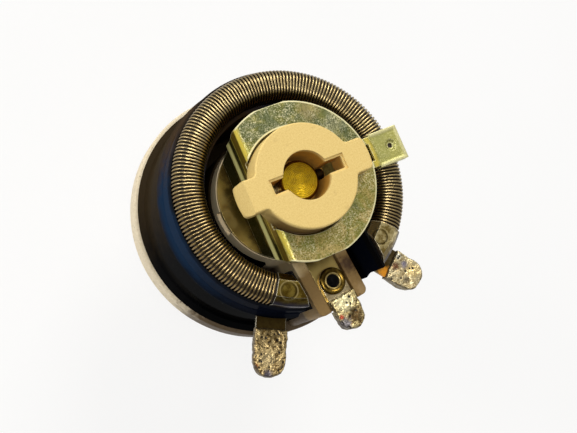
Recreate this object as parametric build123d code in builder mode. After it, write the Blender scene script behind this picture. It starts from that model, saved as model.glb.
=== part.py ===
from build123d import *
import os
from math import cos, radians, sin, sqrt

# Panel-mounted wire-wound rheostat of the 25 watt class, in millimetres.
# A ceramic base carries a C-shaped ceramic core wound with bare resistance wire, bonded by
# vitreous enamel.  A ceramic hub on the shaft turns a sprung contact plate: its brush rides on
# the bare crown of the winding and its foot rides on the collector ring of the middle terminal.
#
# Frame: the origin is the centre of the face that lies against the panel, +Z points away from
# the panel towards the hub, and the middle terminal points along -Y.

os.makedirs("parts", exist_ok=True)

# ---------------------------------------------------------------- clearances
FIT = 0.02          # between bonded or clamped pieces
SHAFT_PLAY = 0.05   # radial running clearance of the shaft in its bushing
END_PLAY = 0.05     # axial clearance of the rotor against fixed faces
CONTACT_GAP = 0.05  # between sliding contacts and the surfaces they ride on

# ---------------------------------------------------------------- ceramic base
BASE_RIM = 2.2          # of the base outside the winding
BASE_T = 3.5
BASE_ROUND = 0.45
BOSS_R = 10.1           # the other radii follow from it, outwards
BOSS_TOP = 16.2
BRIDGE_W = 8.6
BRIDGE_INSET = 0.9      # of the bridge's end from the base's rim
BRIDGE_ROUND = 0.9
CHANNEL_W = 4.9
RIB_H = 1.0
RIB_GAP = 0.6           # between the ribs and the boss's edge
POCKET_ANGLE = 180.0
POCKET_ARC = 20.0
POCKET_T = 0.55
POCKET_DEPTH = 1.6

# ---------------------------------------------------------------- winding and its core
WIRE_T = 0.36
TURNS = 155
WELL_W = 2.9            # between the boss and the winding
COIL_W = 4.6
COIL_TOP = 22.6
COIL_CORNER = 1.1
COIL_LIFT = 0.3         # enamel between the base and the winding
WOUND_GAP = 82.4        # angle without turns, centred on the middle terminal
CORE_END = 6.75         # core ends are flat, this far from the YZ plane

# ---------------------------------------------------------------- enamel
ENAMEL_LOWER_T = 0.8    # over the winding, below the step
ENAMEL_UPPER_T = 0.35   # and above it
ENAMEL_FOOT_INSET = 0.6 # of the enamel's foot from the base's rim
ENAMEL_STEP_Z = 14.6
ENAMEL_STEP_H = 1.4
ENAMEL_BARE = 2.5       # height of bare wire above the enamel outside the ring
ENAMEL_INNER_T = 0.5
ENAMEL_INNER_BARE = 3.2 # and inside it
ENAMEL_FLOOR_T = 0.4
ENAMEL_BOSS_T = 0.3
ENAMEL_BOSS_TOP = 13.3
ENAMEL_END_T = 0.33
ENAMEL_END_DROP = 1.1   # of the end skins below the crown
COVE_R = 1.1

# ---------------------------------------------------------------- terminals
CLAMP_GAP = 0.8         # angle between each end clamp and the first turn
CLAMP_INNER_DROP = 3.4
LEFT_LUG_ANGLE = 33.4   # from the middle terminal
RIGHT_LUG_ANGLE = 32.6
LUG_Z = 14.4            # upper face of the side lugs
LUG_W = 4.6
LUG_HOLE_R = 0.9
LUG_HOLE_BACK = 2.4
LEFT_LUG_REACH = 6.9    # of each lug past the base's rim
RIGHT_LUG_REACH = 5.9
STRAP_T = 0.5
STRAP_W = 4.4
STRAP_INSET = 2.4       # of the strap's end from the base's rim
RING_IN_R = 5.8
RING_INSET = 0.1        # of the collector ring from the boss's edge
CENTRE_LUG_W = 4.0
CENTRE_LUG_REACH = 2.6
EYELET_INSET = 4.85     # of the eyelet from the base's rim
EYELET_HOLE_R = 0.95
EYELET_BODY_R = 1.3
EYELET_HEAD_R = 2.05
EYELET_HEAD_H = 0.5
EYELET_ROUND = 0.3
RIVET_POCKET_R = 2.4
RIVET_POCKET_TOP = 12.0

# ---------------------------------------------------------------- solder left on the lugs
SOLDER_SIDE = 0.3
SOLDER_TOP = 0.75
LEFT_SOLDER_UNDER = 0.5
RIGHT_SOLDER_UNDER = 1.0
CENTRE_SOLDER_UNDER = 0.7
SOLDER_ROUND = 0.5
SOLDER_TIP = 0.45
LEFT_SOLDER_L = 6.8     # of each bead along its lug
RIGHT_SOLDER_L = 5.3
CENTRE_SOLDER_L = 5.1

# ---------------------------------------------------------------- bushing and shaft
SHAFT_R = 3.0
SHAFT_FRONT = 25.0      # reach of the shaft in front of the panel face
SHAFT_DROP = 3.2        # of the shaft's end below the hub's top
SHAFT_CHAMFER = 0.35
THREAD_R = 5.0
THREAD_L = 9.5
THREAD_CHAMFER = 0.5
HEAD_R = 7.6            # across the corners of the bushing's hexagonal head
HEAD_T = 1.8
SLEEVE_R = 4.4
WASHER_R = 6.0
WASHER_T = 0.5
WASHER_GAP = 0.1        # radial room of the washer in its seat
RIM_R = 5.4
RIM_T = 0.55
SEAT_Z = 14.4           # floor of the counterbore in the boss
GROOVE_DEPTH = 0.5
CLIP_T = 0.6
CLIP_R = 4.3
CLIP_MOUTH = 3.4
CLIP_MOUTH_START = 1.0
THRUST_R = 4.7
THRUST_T = 0.4

# ---------------------------------------------------------------- hub, cross pin
HUB_R = 7.6
HUB_HEAD_T = 3.0        # of the hub above the contact plate
HUB_BORE_R = 3.55
HUB_NECK_R = 5.2
HUB_ROUND = 0.25
HUB_SHOULDER_DROP = 0.4 # of the round head below the contact plate
EAR_W = 4.8
EAR_ROUND = 0.7
EAR_INSET = 1.5         # of the ear over the contact arm from the plate's rim
REAR_EAR_INSET = 1.45
REAR_EAR_SLOPE = 1.0
SLOT_W = 1.8
SLOT_FRONT = 5.9
SLOT_REAR = 5.4
SLOT_RIM = 0.3
PIN_R = 0.8
PIN_DROP = 2.1          # of the pin below the contact plate's upper face
PIN_HALF = 4.5
PIN_CHAMFER = 0.2

# ---------------------------------------------------------------- contact plate and brush
ARM_REST = -5.5         # direction of the contact arm as stored, degrees from +X
PLATE_T = 0.5
PLATE_LIFT = 1.6        # of the contact plate above the winding's crown
PLATE_GAP = 1.3         # between the plate's rim and the inside of the winding
PLATE_FLAT_CUT = 0.25   # of the two straight sides from the round rim
HUB_HOLE_GAP = 0.35
FOLD_BACK = 6.2         # outer face of the folded wall
FOLD_R = 0.9
FOOT_KICK = 0.75
FOOT_KNEE_H = 1.9       # above the collector ring
BEAD_OUT = 0.35
BEAD_HALF = 1.05
BEAD_H = 3.5            # above the collector ring
BEAD_R = 0.3
KNEE_SPREAD = 1.5       # of the wall's corners at the knee beyond those of the foot
FOOT_INSET = 3.1        # of its lower corners from the collector ring's radius
TAB_LEAD = 0.35         # of the tab inside the winding's inner edge
TAB_INSET = 0.15        # of its end from the winding's outer edge
TAB_W = 5.2
TAB_RIM = 0.95
NECK_W = 4.6
WINDOW_INSET = 0.55     # of the window from the plate's rim
WINDOW_L = 1.0
WINDOW_W = 2.6
DIMPLE_INSET = 1.95     # of the dimple from the tab's end
DIMPLE_R = 0.9
DIMPLE_DEPTH = 0.3
DIMPLE_SLOPE = 50
DIMPLE_HOLE_R = 0.38
BRUSH_IN_INSET = 0.5    # of the brush from the winding's inner edge
BRUSH_OUT_INSET = 0.9   # and from its outer edge
BRUSH_W = 4.1
BRUSH_ROUND = 0.5

# ---------------------------------------------------------------- values that follow
coil_in_r = BOSS_R + WELL_W
coil_out_r = coil_in_r + COIL_W
base_r = coil_out_r + BASE_RIM
rib_start = BOSS_R + RIB_GAP
ring_out_r = BOSS_R - RING_INSET
enamel_lower_r = coil_out_r + ENAMEL_LOWER_T
enamel_upper_r = coil_out_r + ENAMEL_UPPER_T
enamel_foot_r = base_r - ENAMEL_FOOT_INSET
clamp_edge = WOUND_GAP / 2 - CLAMP_GAP
plate_r = coil_in_r - PLATE_GAP
plate_flat = plate_r - PLATE_FLAT_CUT
ear_reach = plate_r - EAR_INSET
rear_ear_reach = plate_r - REAR_EAR_INSET
wall_half_top = sqrt(plate_r ** 2 - FOLD_BACK ** 2)
wall_half_foot = ring_out_r - FOOT_INSET
wall_half_knee = wall_half_foot + KNEE_SPREAD
tab_start = coil_in_r - TAB_LEAD
tab_end = coil_out_r - TAB_INSET
window_start = plate_r - WINDOW_INSET
dimple_at = tab_end - DIMPLE_INSET
brush_in = coil_in_r + BRUSH_IN_INSET
brush_out = coil_out_r - BRUSH_OUT_INSET
bridge_end = base_r - BRIDGE_INSET
strap_end = base_r - STRAP_INSET
eyelet_y = base_r - EYELET_INSET
left_lug_r = base_r + LEFT_LUG_REACH
right_lug_r = base_r + RIGHT_LUG_REACH
centre_lug_r = base_r + CENTRE_LUG_REACH
enamel_top = COIL_TOP - ENAMEL_BARE
enamel_inner_top = COIL_TOP - ENAMEL_INNER_BARE
plate_bottom = COIL_TOP + PLATE_LIFT
plate_top = plate_bottom + PLATE_T
hub_top = plate_top + HUB_HEAD_T
shaft_rear = hub_top - SHAFT_DROP
pin_z = plate_top - PIN_DROP
ring_top = BOSS_TOP + STRAP_T
bridge_top = BOSS_TOP + RIB_H
coil_bottom = BASE_T + COIL_LIFT
sleeve_top = SEAT_Z + WASHER_T + RIM_T + FIT
hub_bottom = sleeve_top + END_PLAY + THRUST_T
hub_shoulder = plate_bottom - HUB_SHOULDER_DROP
ear_bottom = plate_top + FIT
foot_knee_z = ring_top + FOOT_KNEE_H
bead_z = ring_top + BEAD_H
strip_t = WIRE_T
enamel_gap = CORE_END - ENAMEL_END_T
thrust_z = -THREAD_L - END_PLAY
clip_z = thrust_z - THRUST_T
slot_floor = pin_z - PIN_R
wound_start = -90 + WOUND_GAP / 2
left_lug_angle = -90 - LEFT_LUG_ANGLE
right_lug_angle = -90 + RIGHT_LUG_ANGLE
wound_arc = 360 - WOUND_GAP


def save(builder, name):
    """Label a finished piece and write it as its own STEP file."""
    builder.part.label = name
    export_step(builder.part, f"parts/{name}.step")
    print(f"{name}: {builder.part.volume:.2f} mm3")


def arm_level(z):
    """Horizontal plane at height z whose X axis runs along the contact arm."""
    along = (cos(radians(ARM_REST)), sin(radians(ARM_REST)), 0)
    return Plane((0, 0, z), x_dir=along, z_dir=(0, 0, 1))


def arm_section():
    """Vertical plane through the contact arm: X along the arm, Y up."""
    along = (cos(radians(ARM_REST)), sin(radians(ARM_REST)), 0)
    across = (sin(radians(ARM_REST)), -cos(radians(ARM_REST)), 0)
    return Plane((0, 0, 0), x_dir=along, z_dir=across)


def arm_cross_section():
    """Vertical plane across the contact arm: X to its left, Y up."""
    level = arm_level(0)
    return Plane((0, 0, 0), x_dir=level.y_dir, z_dir=level.x_dir)


def lug_level(angle, z):
    """Horizontal plane at height z whose X axis runs out along a lug."""
    out = (cos(radians(angle)), sin(radians(angle)), 0)
    return Plane((0, 0, z), x_dir=out, z_dir=(0, 0, 1))


def coil_outline(grow):
    """Section through the wound core: a tall rectangle with its two crown corners cut."""
    cut = COIL_CORNER + grow * (2 - sqrt(2))
    left = coil_in_r - grow
    right = coil_out_r + grow
    low = coil_bottom - grow
    high = COIL_TOP + grow
    points = [(left, low), (right, low), (right, high - cut)]
    points += [(right - cut, high), (left + cut, high), (left, high - cut)]
    Polyline(*points, close=True)


def ring_plan(inner, outer):
    """Flat washer shape."""
    Circle(outer)
    Circle(inner, mode=Mode.SUBTRACT)


def gap_plan(half_width):
    """Strip that leaves the ring open towards the middle terminal."""
    with Locations((0, -base_r)):
        Rectangle(2 * half_width, 2 * base_r)


def lug_shape(start, end, width):
    """Straight strip along X from start, with a round tip at end."""
    with BuildSketch() as strip:
        with Locations(((start + end - width / 2) / 2, 0)):
            Rectangle(end - width / 2 - start, width)
        with Locations((end - width / 2, 0)):
            Circle(width / 2)
    return strip.sketch


# ================================================================ fixed pieces
# The base is one ceramic moulding: plate, round boss and the bridge out to the middle terminal.
with BuildPart() as base:
    with BuildSketch():
        Circle(base_r)
    extrude(amount=BASE_T)
    fillet(base.edges().filter_by(GeomType.CIRCLE), BASE_ROUND)
    with BuildSketch(Plane.XY.offset(BASE_T)):
        Circle(BOSS_R)
    extrude(amount=BOSS_TOP - BASE_T)
    with BuildSketch(Plane.XY.offset(BASE_T)) as bridge_plan:
        with Locations((0, -bridge_end / 2)):
            Rectangle(BRIDGE_W, bridge_end)
        fillet(bridge_plan.vertices().group_by(Axis.Y)[0], BRIDGE_ROUND)
        Circle(rib_start, mode=Mode.SUBTRACT)
    extrude(amount=bridge_top - BASE_T)
    with BuildSketch(Plane.XY.offset(BASE_T)):
        with Locations((0, -rib_start / 2)):
            Rectangle(BRIDGE_W, rib_start)
    extrude(amount=BOSS_TOP - BASE_T)
    with BuildSketch(Plane.XY.offset(BOSS_TOP)):
        with Locations((0, -bridge_end / 2)):
            Rectangle(CHANNEL_W, bridge_end + BRIDGE_ROUND)
    extrude(amount=RIB_H, mode=Mode.SUBTRACT)
    # bore and seats of the bushing
    with BuildSketch():
        Circle(SLEEVE_R + FIT)
    extrude(amount=BOSS_TOP, mode=Mode.SUBTRACT)
    with BuildSketch():
        RegularPolygon(HEAD_R + FIT, 6)
    extrude(amount=HEAD_T + FIT, mode=Mode.SUBTRACT)
    with BuildSketch(Plane.XY.offset(SEAT_Z)):
        Circle(WASHER_R + WASHER_GAP)
    extrude(amount=BOSS_TOP - SEAT_Z, mode=Mode.SUBTRACT)
    # hole and front pocket of the eyelet
    with BuildSketch():
        with Locations((0, -eyelet_y)):
            Circle(EYELET_BODY_R + FIT)
    extrude(amount=bridge_top, mode=Mode.SUBTRACT)
    with BuildSketch():
        with Locations((0, -eyelet_y)):
            Circle(RIVET_POCKET_R)
    extrude(amount=RIVET_POCKET_TOP, mode=Mode.SUBTRACT)
    # narrow moulding pocket in the shoulder of the boss
    with BuildSketch(Plane.XY.offset(BOSS_TOP - POCKET_DEPTH)):
        with BuildLine(mode=Mode.PRIVATE) as pocket_line:
            CenterArc((0, 0), BOSS_R, POCKET_ANGLE - POCKET_ARC / 2, POCKET_ARC)
        trace(pocket_line.line, line_width=2 * POCKET_T)
    extrude(amount=POCKET_DEPTH, mode=Mode.SUBTRACT)
save(base, "base")

# The core is a C-shaped ceramic former with flat ends either side of the bridge.
with BuildPart() as core:
    with BuildSketch(Plane.XZ):
        with BuildLine():
            coil_outline(-WIRE_T - FIT)
        make_face()
    revolve(axis=Axis.Z)
    with BuildSketch(Plane.XY.offset(coil_bottom)):
        gap_plan(CORE_END)
    extrude(amount=COIL_TOP, mode=Mode.SUBTRACT)
save(core, "core")

# One turn of wire is a thin loop round the core; the winding is that loop set round the arc.
with BuildPart() as turn:
    with BuildSketch(Plane.XZ):
        with BuildLine():
            coil_outline(0)
        make_face()
        with BuildLine():
            coil_outline(-WIRE_T)
        make_face(mode=Mode.SUBTRACT)
    extrude(amount=WIRE_T / 2, both=True)

with BuildPart() as winding:
    with PolarLocations(0, TURNS, wound_start, wound_arc, endpoint=True):
        add(turn.part)
save(winding, "winding")

# Each end clamp is a stamped strip bent over the end of the core, down its outer side and out
# through the enamel as a solder lug.  side is -1 for the left one and +1 for the right one.
for side, name, lug_angle, reach in (
    (-1, "left_terminal", left_lug_angle, left_lug_r),
    (1, "right_terminal", right_lug_angle, right_lug_r),
):
    far = -90 + side * clamp_edge
    side_lug = lug_shape(coil_out_r - strip_t, reach, LUG_W)
    with BuildPart() as terminal:
        with BuildSketch(Plane.XZ):
            with BuildLine():
                coil_outline(0)
            make_face()
            with BuildLine():
                coil_outline(-strip_t)
            make_face(mode=Mode.SUBTRACT)
            with Locations(((coil_in_r + coil_out_r) / 2, LUG_Z - strip_t)):
                Rectangle(coil_out_r, LUG_Z, align=(Align.CENTER, Align.MAX), mode=Mode.SUBTRACT)
            with Locations((coil_in_r, COIL_TOP - CLAMP_INNER_DROP)):
                Rectangle(2 * strip_t + COIL_CORNER, COIL_TOP, align=(Align.CENTER, Align.MAX),
                          mode=Mode.SUBTRACT)
        revolve(axis=Axis.Z)
        with BuildSketch(Plane.XY.offset(LUG_Z - strip_t)):
            with BuildLine():
                corner_y = -sqrt((2 * base_r) ** 2 - CORE_END ** 2)
                edge = (2 * base_r * cos(radians(far)), 2 * base_r * sin(radians(far)))
                root = (side * CORE_END, side * CORE_END * sin(radians(far)) / cos(radians(far)))
                Polyline(root, (side * CORE_END, corner_y), edge, close=True)
            make_face()
        extrude(amount=COIL_TOP, mode=Mode.INTERSECT)
        with BuildSketch(lug_level(lug_angle, LUG_Z - strip_t)):
            add(side_lug)
            with Locations((reach - LUG_HOLE_BACK, 0)):
                Circle(LUG_HOLE_R, mode=Mode.SUBTRACT)
        extrude(amount=strip_t)
    save(terminal, name)

# The enamel is one fused jacket: it coats the base, fills the channel round the boss, climbs
# both sides of the winding and closes the ends of the core.
with BuildPart() as coil_space:
    with BuildSketch(Plane.XZ):
        with BuildLine():
            coil_outline(FIT)
        make_face()
    revolve(axis=Axis.Z)
    with BuildSketch(Plane.XY.offset(BASE_T)):
        gap_plan(CORE_END - FIT)
    extrude(amount=COIL_TOP, mode=Mode.SUBTRACT)

lug_slot = lug_shape(coil_out_r - strip_t, base_r + LUG_W, LUG_W + 2 * FIT)
with BuildPart() as enamel:
    with BuildSketch(Plane.XZ) as enamel_section:
        with BuildLine():
            channel_low = BASE_T + ENAMEL_FLOOR_T
            wall_in = coil_in_r - ENAMEL_INNER_T
            Polyline(
                (BOSS_R + FIT, BASE_T),
                (BOSS_R + FIT, ENAMEL_BOSS_TOP),
                (BOSS_R + ENAMEL_BOSS_T, ENAMEL_BOSS_TOP - ENAMEL_BOSS_T),
                (BOSS_R + ENAMEL_BOSS_T, channel_low),
                (wall_in, channel_low),
                (wall_in, enamel_inner_top - ENAMEL_INNER_T),
                (coil_in_r, enamel_inner_top),
                (coil_out_r + FIT, enamel_top),
                (enamel_upper_r, enamel_top - ENAMEL_INNER_T),
                (enamel_upper_r, ENAMEL_STEP_Z + ENAMEL_STEP_H),
                (enamel_lower_r, ENAMEL_STEP_Z),
                (enamel_lower_r, BASE_T + COVE_R),
                (enamel_foot_r, BASE_T),
                close=True,
            )
        make_face()
    revolve(axis=Axis.Z)
    with BuildSketch(Plane.XY.offset(BASE_T)):
        gap_plan(enamel_gap)
    extrude(amount=COIL_TOP, mode=Mode.SUBTRACT)
    for side in (-1, 1):
        with BuildSketch(Plane.XY.offset(BASE_T)) as end_wall:
            ring_plan(coil_in_r - ENAMEL_INNER_T, enamel_upper_r)
            with Locations((side * (enamel_gap + ENAMEL_END_T / 2), -base_r)):
                Rectangle(ENAMEL_END_T, 2 * base_r, mode=Mode.INTERSECT)
        extrude(amount=COIL_TOP - ENAMEL_END_DROP - BASE_T)
    add(coil_space.part, mode=Mode.SUBTRACT)
    for lug_angle in (left_lug_angle, right_lug_angle):
        with BuildSketch(lug_level(lug_angle, LUG_Z - strip_t - FIT)):
            add(lug_slot)
        extrude(amount=strip_t + 2 * FIT, mode=Mode.SUBTRACT)
save(enamel, "enamel")

# The collector ring is a flat ring on the boss with its strap lying in the bridge's channel.
with BuildPart() as collector_ring:
    with BuildSketch(Plane.XY.offset(BOSS_TOP)) as ring_face:
        Circle(ring_out_r)
        with Locations((0, -strap_end / 2)):
            Rectangle(STRAP_W, strap_end)
        root_y = -sqrt(ring_out_r ** 2 - (STRAP_W / 2) ** 2)
        roots = [v for v in ring_face.vertices() if abs(v.Y - root_y) < FIT]
        fillet(roots, (CHANNEL_W - STRAP_W) / 2)
        Circle(RING_IN_R, mode=Mode.SUBTRACT)
        with Locations((0, -eyelet_y)):
            Circle(EYELET_BODY_R + FIT, mode=Mode.SUBTRACT)
    extrude(amount=STRAP_T)
save(collector_ring, "collector_ring")

middle_lug = lug_shape(eyelet_y, centre_lug_r, CENTRE_LUG_W)
with BuildPart() as centre_terminal:
    with BuildSketch(lug_level(-90, ring_top)):
        add(middle_lug)
        with Locations((eyelet_y, 0)):
            Circle(EYELET_HEAD_R)
            Circle(EYELET_BODY_R + FIT, mode=Mode.SUBTRACT)
        with Locations((centre_lug_r - LUG_HOLE_BACK, 0)):
            Circle(LUG_HOLE_R, mode=Mode.SUBTRACT)
    extrude(amount=STRAP_T)
save(centre_terminal, "centre_terminal")

# The eyelet is a rolled tubular rivet through lug, strap and bridge.
with BuildPart() as eyelet:
    lug_top = ring_top + STRAP_T
    with BuildSketch(Plane.XZ.offset(eyelet_y)) as eyelet_section:
        with BuildLine():
            Polyline(
                (EYELET_HOLE_R, RIVET_POCKET_TOP - EYELET_HEAD_H),
                (EYELET_HEAD_R - FIT, RIVET_POCKET_TOP - EYELET_HEAD_H),
                (EYELET_HEAD_R - FIT, RIVET_POCKET_TOP),
                (EYELET_BODY_R, RIVET_POCKET_TOP),
                (EYELET_BODY_R, lug_top),
                (EYELET_HEAD_R, lug_top),
                (EYELET_HEAD_R, lug_top + EYELET_HEAD_H),
                (EYELET_HOLE_R, lug_top + EYELET_HEAD_H),
                close=True,
            )
        make_face()
        fillet(eyelet_section.vertices().group_by(Axis.Y)[-1], EYELET_ROUND)
    revolve(axis=Axis((0, -eyelet_y, 0), (0, 0, 1)))
save(eyelet, "eyelet")


# Solder was left on all three lugs: a bead that wraps the end of each and fills its wire hole.
def solder_bead(angle, level, thick, length, lug_end, lug_width, under):
    """Solder on a lug whose upper face is at level; under is how far it hangs beneath."""
    bottom = level - thick - under
    start = lug_end - length
    outline = lug_shape(start, lug_end + SOLDER_TIP, lug_width + 2 * SOLDER_SIDE)
    lug_space = lug_shape(0, lug_end + FIT, lug_width + 2 * FIT)
    with BuildPart() as bead:
        with BuildSketch(lug_level(angle, bottom)):
            add(outline)
        extrude(amount=level + SOLDER_TOP - bottom)
        ends = bead.edges().group_by(Axis.Z)[0] + bead.edges().group_by(Axis.Z)[-1]
        fillet(ends, SOLDER_ROUND)
        with BuildSketch(lug_level(angle, level - thick - FIT)):
            add(lug_space)
            with Locations((lug_end - LUG_HOLE_BACK, 0)):
                Circle(LUG_HOLE_R - FIT, mode=Mode.SUBTRACT)
        extrude(amount=thick + FIT, mode=Mode.SUBTRACT)
    return bead


left_solder = solder_bead(left_lug_angle, LUG_Z, strip_t, LEFT_SOLDER_L, left_lug_r, LUG_W,
                          LEFT_SOLDER_UNDER)
save(left_solder, "left_solder")

right_solder = solder_bead(right_lug_angle, LUG_Z, strip_t, RIGHT_SOLDER_L, right_lug_r,
                           LUG_W, RIGHT_SOLDER_UNDER)
save(right_solder, "right_solder")

# the middle bead stops short of the bridge below the lug
with BuildPart() as centre_solder:
    add(solder_bead(-90, ring_top + STRAP_T, STRAP_T, CENTRE_SOLDER_L, centre_lug_r,
                    CENTRE_LUG_W, CENTRE_SOLDER_UNDER).part)
    with BuildSketch(Plane.XY.offset(bridge_top)):
        with Locations((0, -bridge_end / 2)):
            Rectangle(2 * BRIDGE_W, bridge_end + 2 * FIT)
    extrude(amount=-bridge_end, mode=Mode.SUBTRACT)
save(centre_solder, "centre_solder")

# ================================================================ bushing
with BuildPart() as bushing:
    with BuildSketch(Plane.XZ):
        with BuildLine():
            bore = SHAFT_R + SHAFT_PLAY
            Polyline(
                (bore, -THREAD_L),
                (THREAD_R - THREAD_CHAMFER, -THREAD_L),
                (THREAD_R, THREAD_CHAMFER - THREAD_L),
                (THREAD_R, 0),
                (SLEEVE_R, 0),
                (SLEEVE_R, SEAT_Z + WASHER_T + FIT),
                (RIM_R, SEAT_Z + WASHER_T + FIT),
                (RIM_R - RIM_T / 2, sleeve_top),
                (bore, sleeve_top),
                close=True,
            )
        make_face()
    revolve(axis=Axis.Z)
    with BuildSketch():
        RegularPolygon(HEAD_R, 6)
        Circle(bore, mode=Mode.SUBTRACT)
    extrude(amount=HEAD_T)
save(bushing, "bushing")

with BuildPart() as bushing_washer:
    with BuildSketch(Plane.XY.offset(SEAT_Z)):
        ring_plan(SLEEVE_R + FIT, WASHER_R)
    extrude(amount=WASHER_T)
save(bushing_washer, "bushing_washer")

# ================================================================ turning pieces
with BuildPart() as shaft:
    with BuildSketch(Plane.XY.offset(-SHAFT_FRONT)):
        Circle(SHAFT_R)
    extrude(amount=SHAFT_FRONT + shaft_rear)
    chamfer(shaft.edges().filter_by(GeomType.CIRCLE), SHAFT_CHAMFER)
    with BuildSketch(Plane.XY.offset(clip_z)):
        ring_plan(SHAFT_R - GROOVE_DEPTH, 2 * SHAFT_R)
    extrude(amount=-CLIP_T - 2 * FIT, mode=Mode.SUBTRACT)
    with BuildSketch(arm_cross_section()):
        with Locations((0, pin_z)):
            Circle(PIN_R + FIT)
    extrude(amount=SHAFT_R + FIT, both=True, mode=Mode.SUBTRACT)
save(shaft, "shaft")

with BuildPart() as thrust_washer:
    with BuildSketch(Plane.XY.offset(clip_z)):
        ring_plan(SHAFT_R + SHAFT_PLAY, THRUST_R)
    extrude(amount=THRUST_T)
save(thrust_washer, "thrust_washer")

# The clip is a C-shaped snap ring in the shaft's groove.
with BuildPart() as retaining_ring:
    with BuildSketch(Plane.XY.offset(clip_z - FIT - CLIP_T)):
        ring_plan(SHAFT_R - GROOVE_DEPTH + FIT, CLIP_R)
        with Locations((CLIP_MOUTH_START, 0)):
            Rectangle(CLIP_R, CLIP_MOUTH, align=(Align.MIN, Align.CENTER), mode=Mode.SUBTRACT)
    extrude(amount=CLIP_T)
save(retaining_ring, "retaining_ring")

with BuildPart() as hub_washer:
    with BuildSketch(Plane.XY.offset(sleeve_top + END_PLAY)):
        ring_plan(SHAFT_R + SHAFT_PLAY, HUB_NECK_R)
    extrude(amount=THRUST_T)
save(hub_washer, "hub_washer")

# The hub is a ceramic driver: a neck down to the bushing, a round head through the contact
# plate, two ears over the plate, and a slot across the top for the cross pin.
with BuildPart() as hub:
    with BuildSketch(Plane.XY.offset(hub_bottom)):
        Circle(HUB_NECK_R)
    extrude(amount=hub_top - hub_bottom)
    with BuildSketch(Plane.XY.offset(hub_shoulder)):
        Circle(HUB_R)
    extrude(amount=ear_bottom - hub_shoulder)
    with BuildSketch(arm_level(ear_bottom)) as head:
        with Locations(((ear_reach - rear_ear_reach) / 2, 0)):
            Rectangle(ear_reach + rear_ear_reach, EAR_W)
        Circle(ear_reach, mode=Mode.INTERSECT)
        Circle(HUB_R)
        fillet(head.vertices(), EAR_ROUND)
    extrude(amount=hub_top - ear_bottom)
    fillet(hub.edges().group_by(Axis.Z)[-1], HUB_ROUND)
    with BuildSketch(arm_section()):
        with BuildLine():
            Polyline(
                (-rear_ear_reach, ear_bottom),
                (-rear_ear_reach + REAR_EAR_SLOPE, hub_top),
                (-2 * rear_ear_reach, hub_top),
                (-2 * rear_ear_reach, ear_bottom),
                close=True,
            )
        make_face()
    extrude(amount=EAR_W, both=True, mode=Mode.SUBTRACT)
    with BuildSketch(Plane.XY.offset(hub_bottom)):
        Circle(SHAFT_R + FIT)
    extrude(amount=hub_top, mode=Mode.SUBTRACT)
    with BuildSketch(Plane.XY.offset(slot_floor)):
        Circle(HUB_BORE_R)
    extrude(amount=hub_top, mode=Mode.SUBTRACT)
    with BuildSketch(arm_level(slot_floor)):
        with Locations(((SLOT_FRONT - SLOT_REAR) / 2, 0)):
            Rectangle(SLOT_FRONT + SLOT_REAR, SLOT_W)
    extrude(amount=hub_top, mode=Mode.SUBTRACT)
    with BuildSketch(arm_level(hub_top - SLOT_RIM)):
        with Locations(((SLOT_FRONT - SLOT_REAR) / 2, 0)):
            Rectangle(SLOT_FRONT + SLOT_REAR + 2 * SLOT_RIM, SLOT_W + 2 * SLOT_RIM)
    extrude(amount=SLOT_RIM, mode=Mode.SUBTRACT)
save(hub, "hub")

with BuildPart() as cross_pin:
    with BuildSketch(arm_cross_section()):
        with Locations((0, pin_z)):
            Circle(PIN_R)
    extrude(amount=PIN_HALF, both=True)
    chamfer(cross_pin.edges().filter_by(GeomType.CIRCLE), PIN_CHAMFER)
save(cross_pin, "cross_pin")

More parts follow.
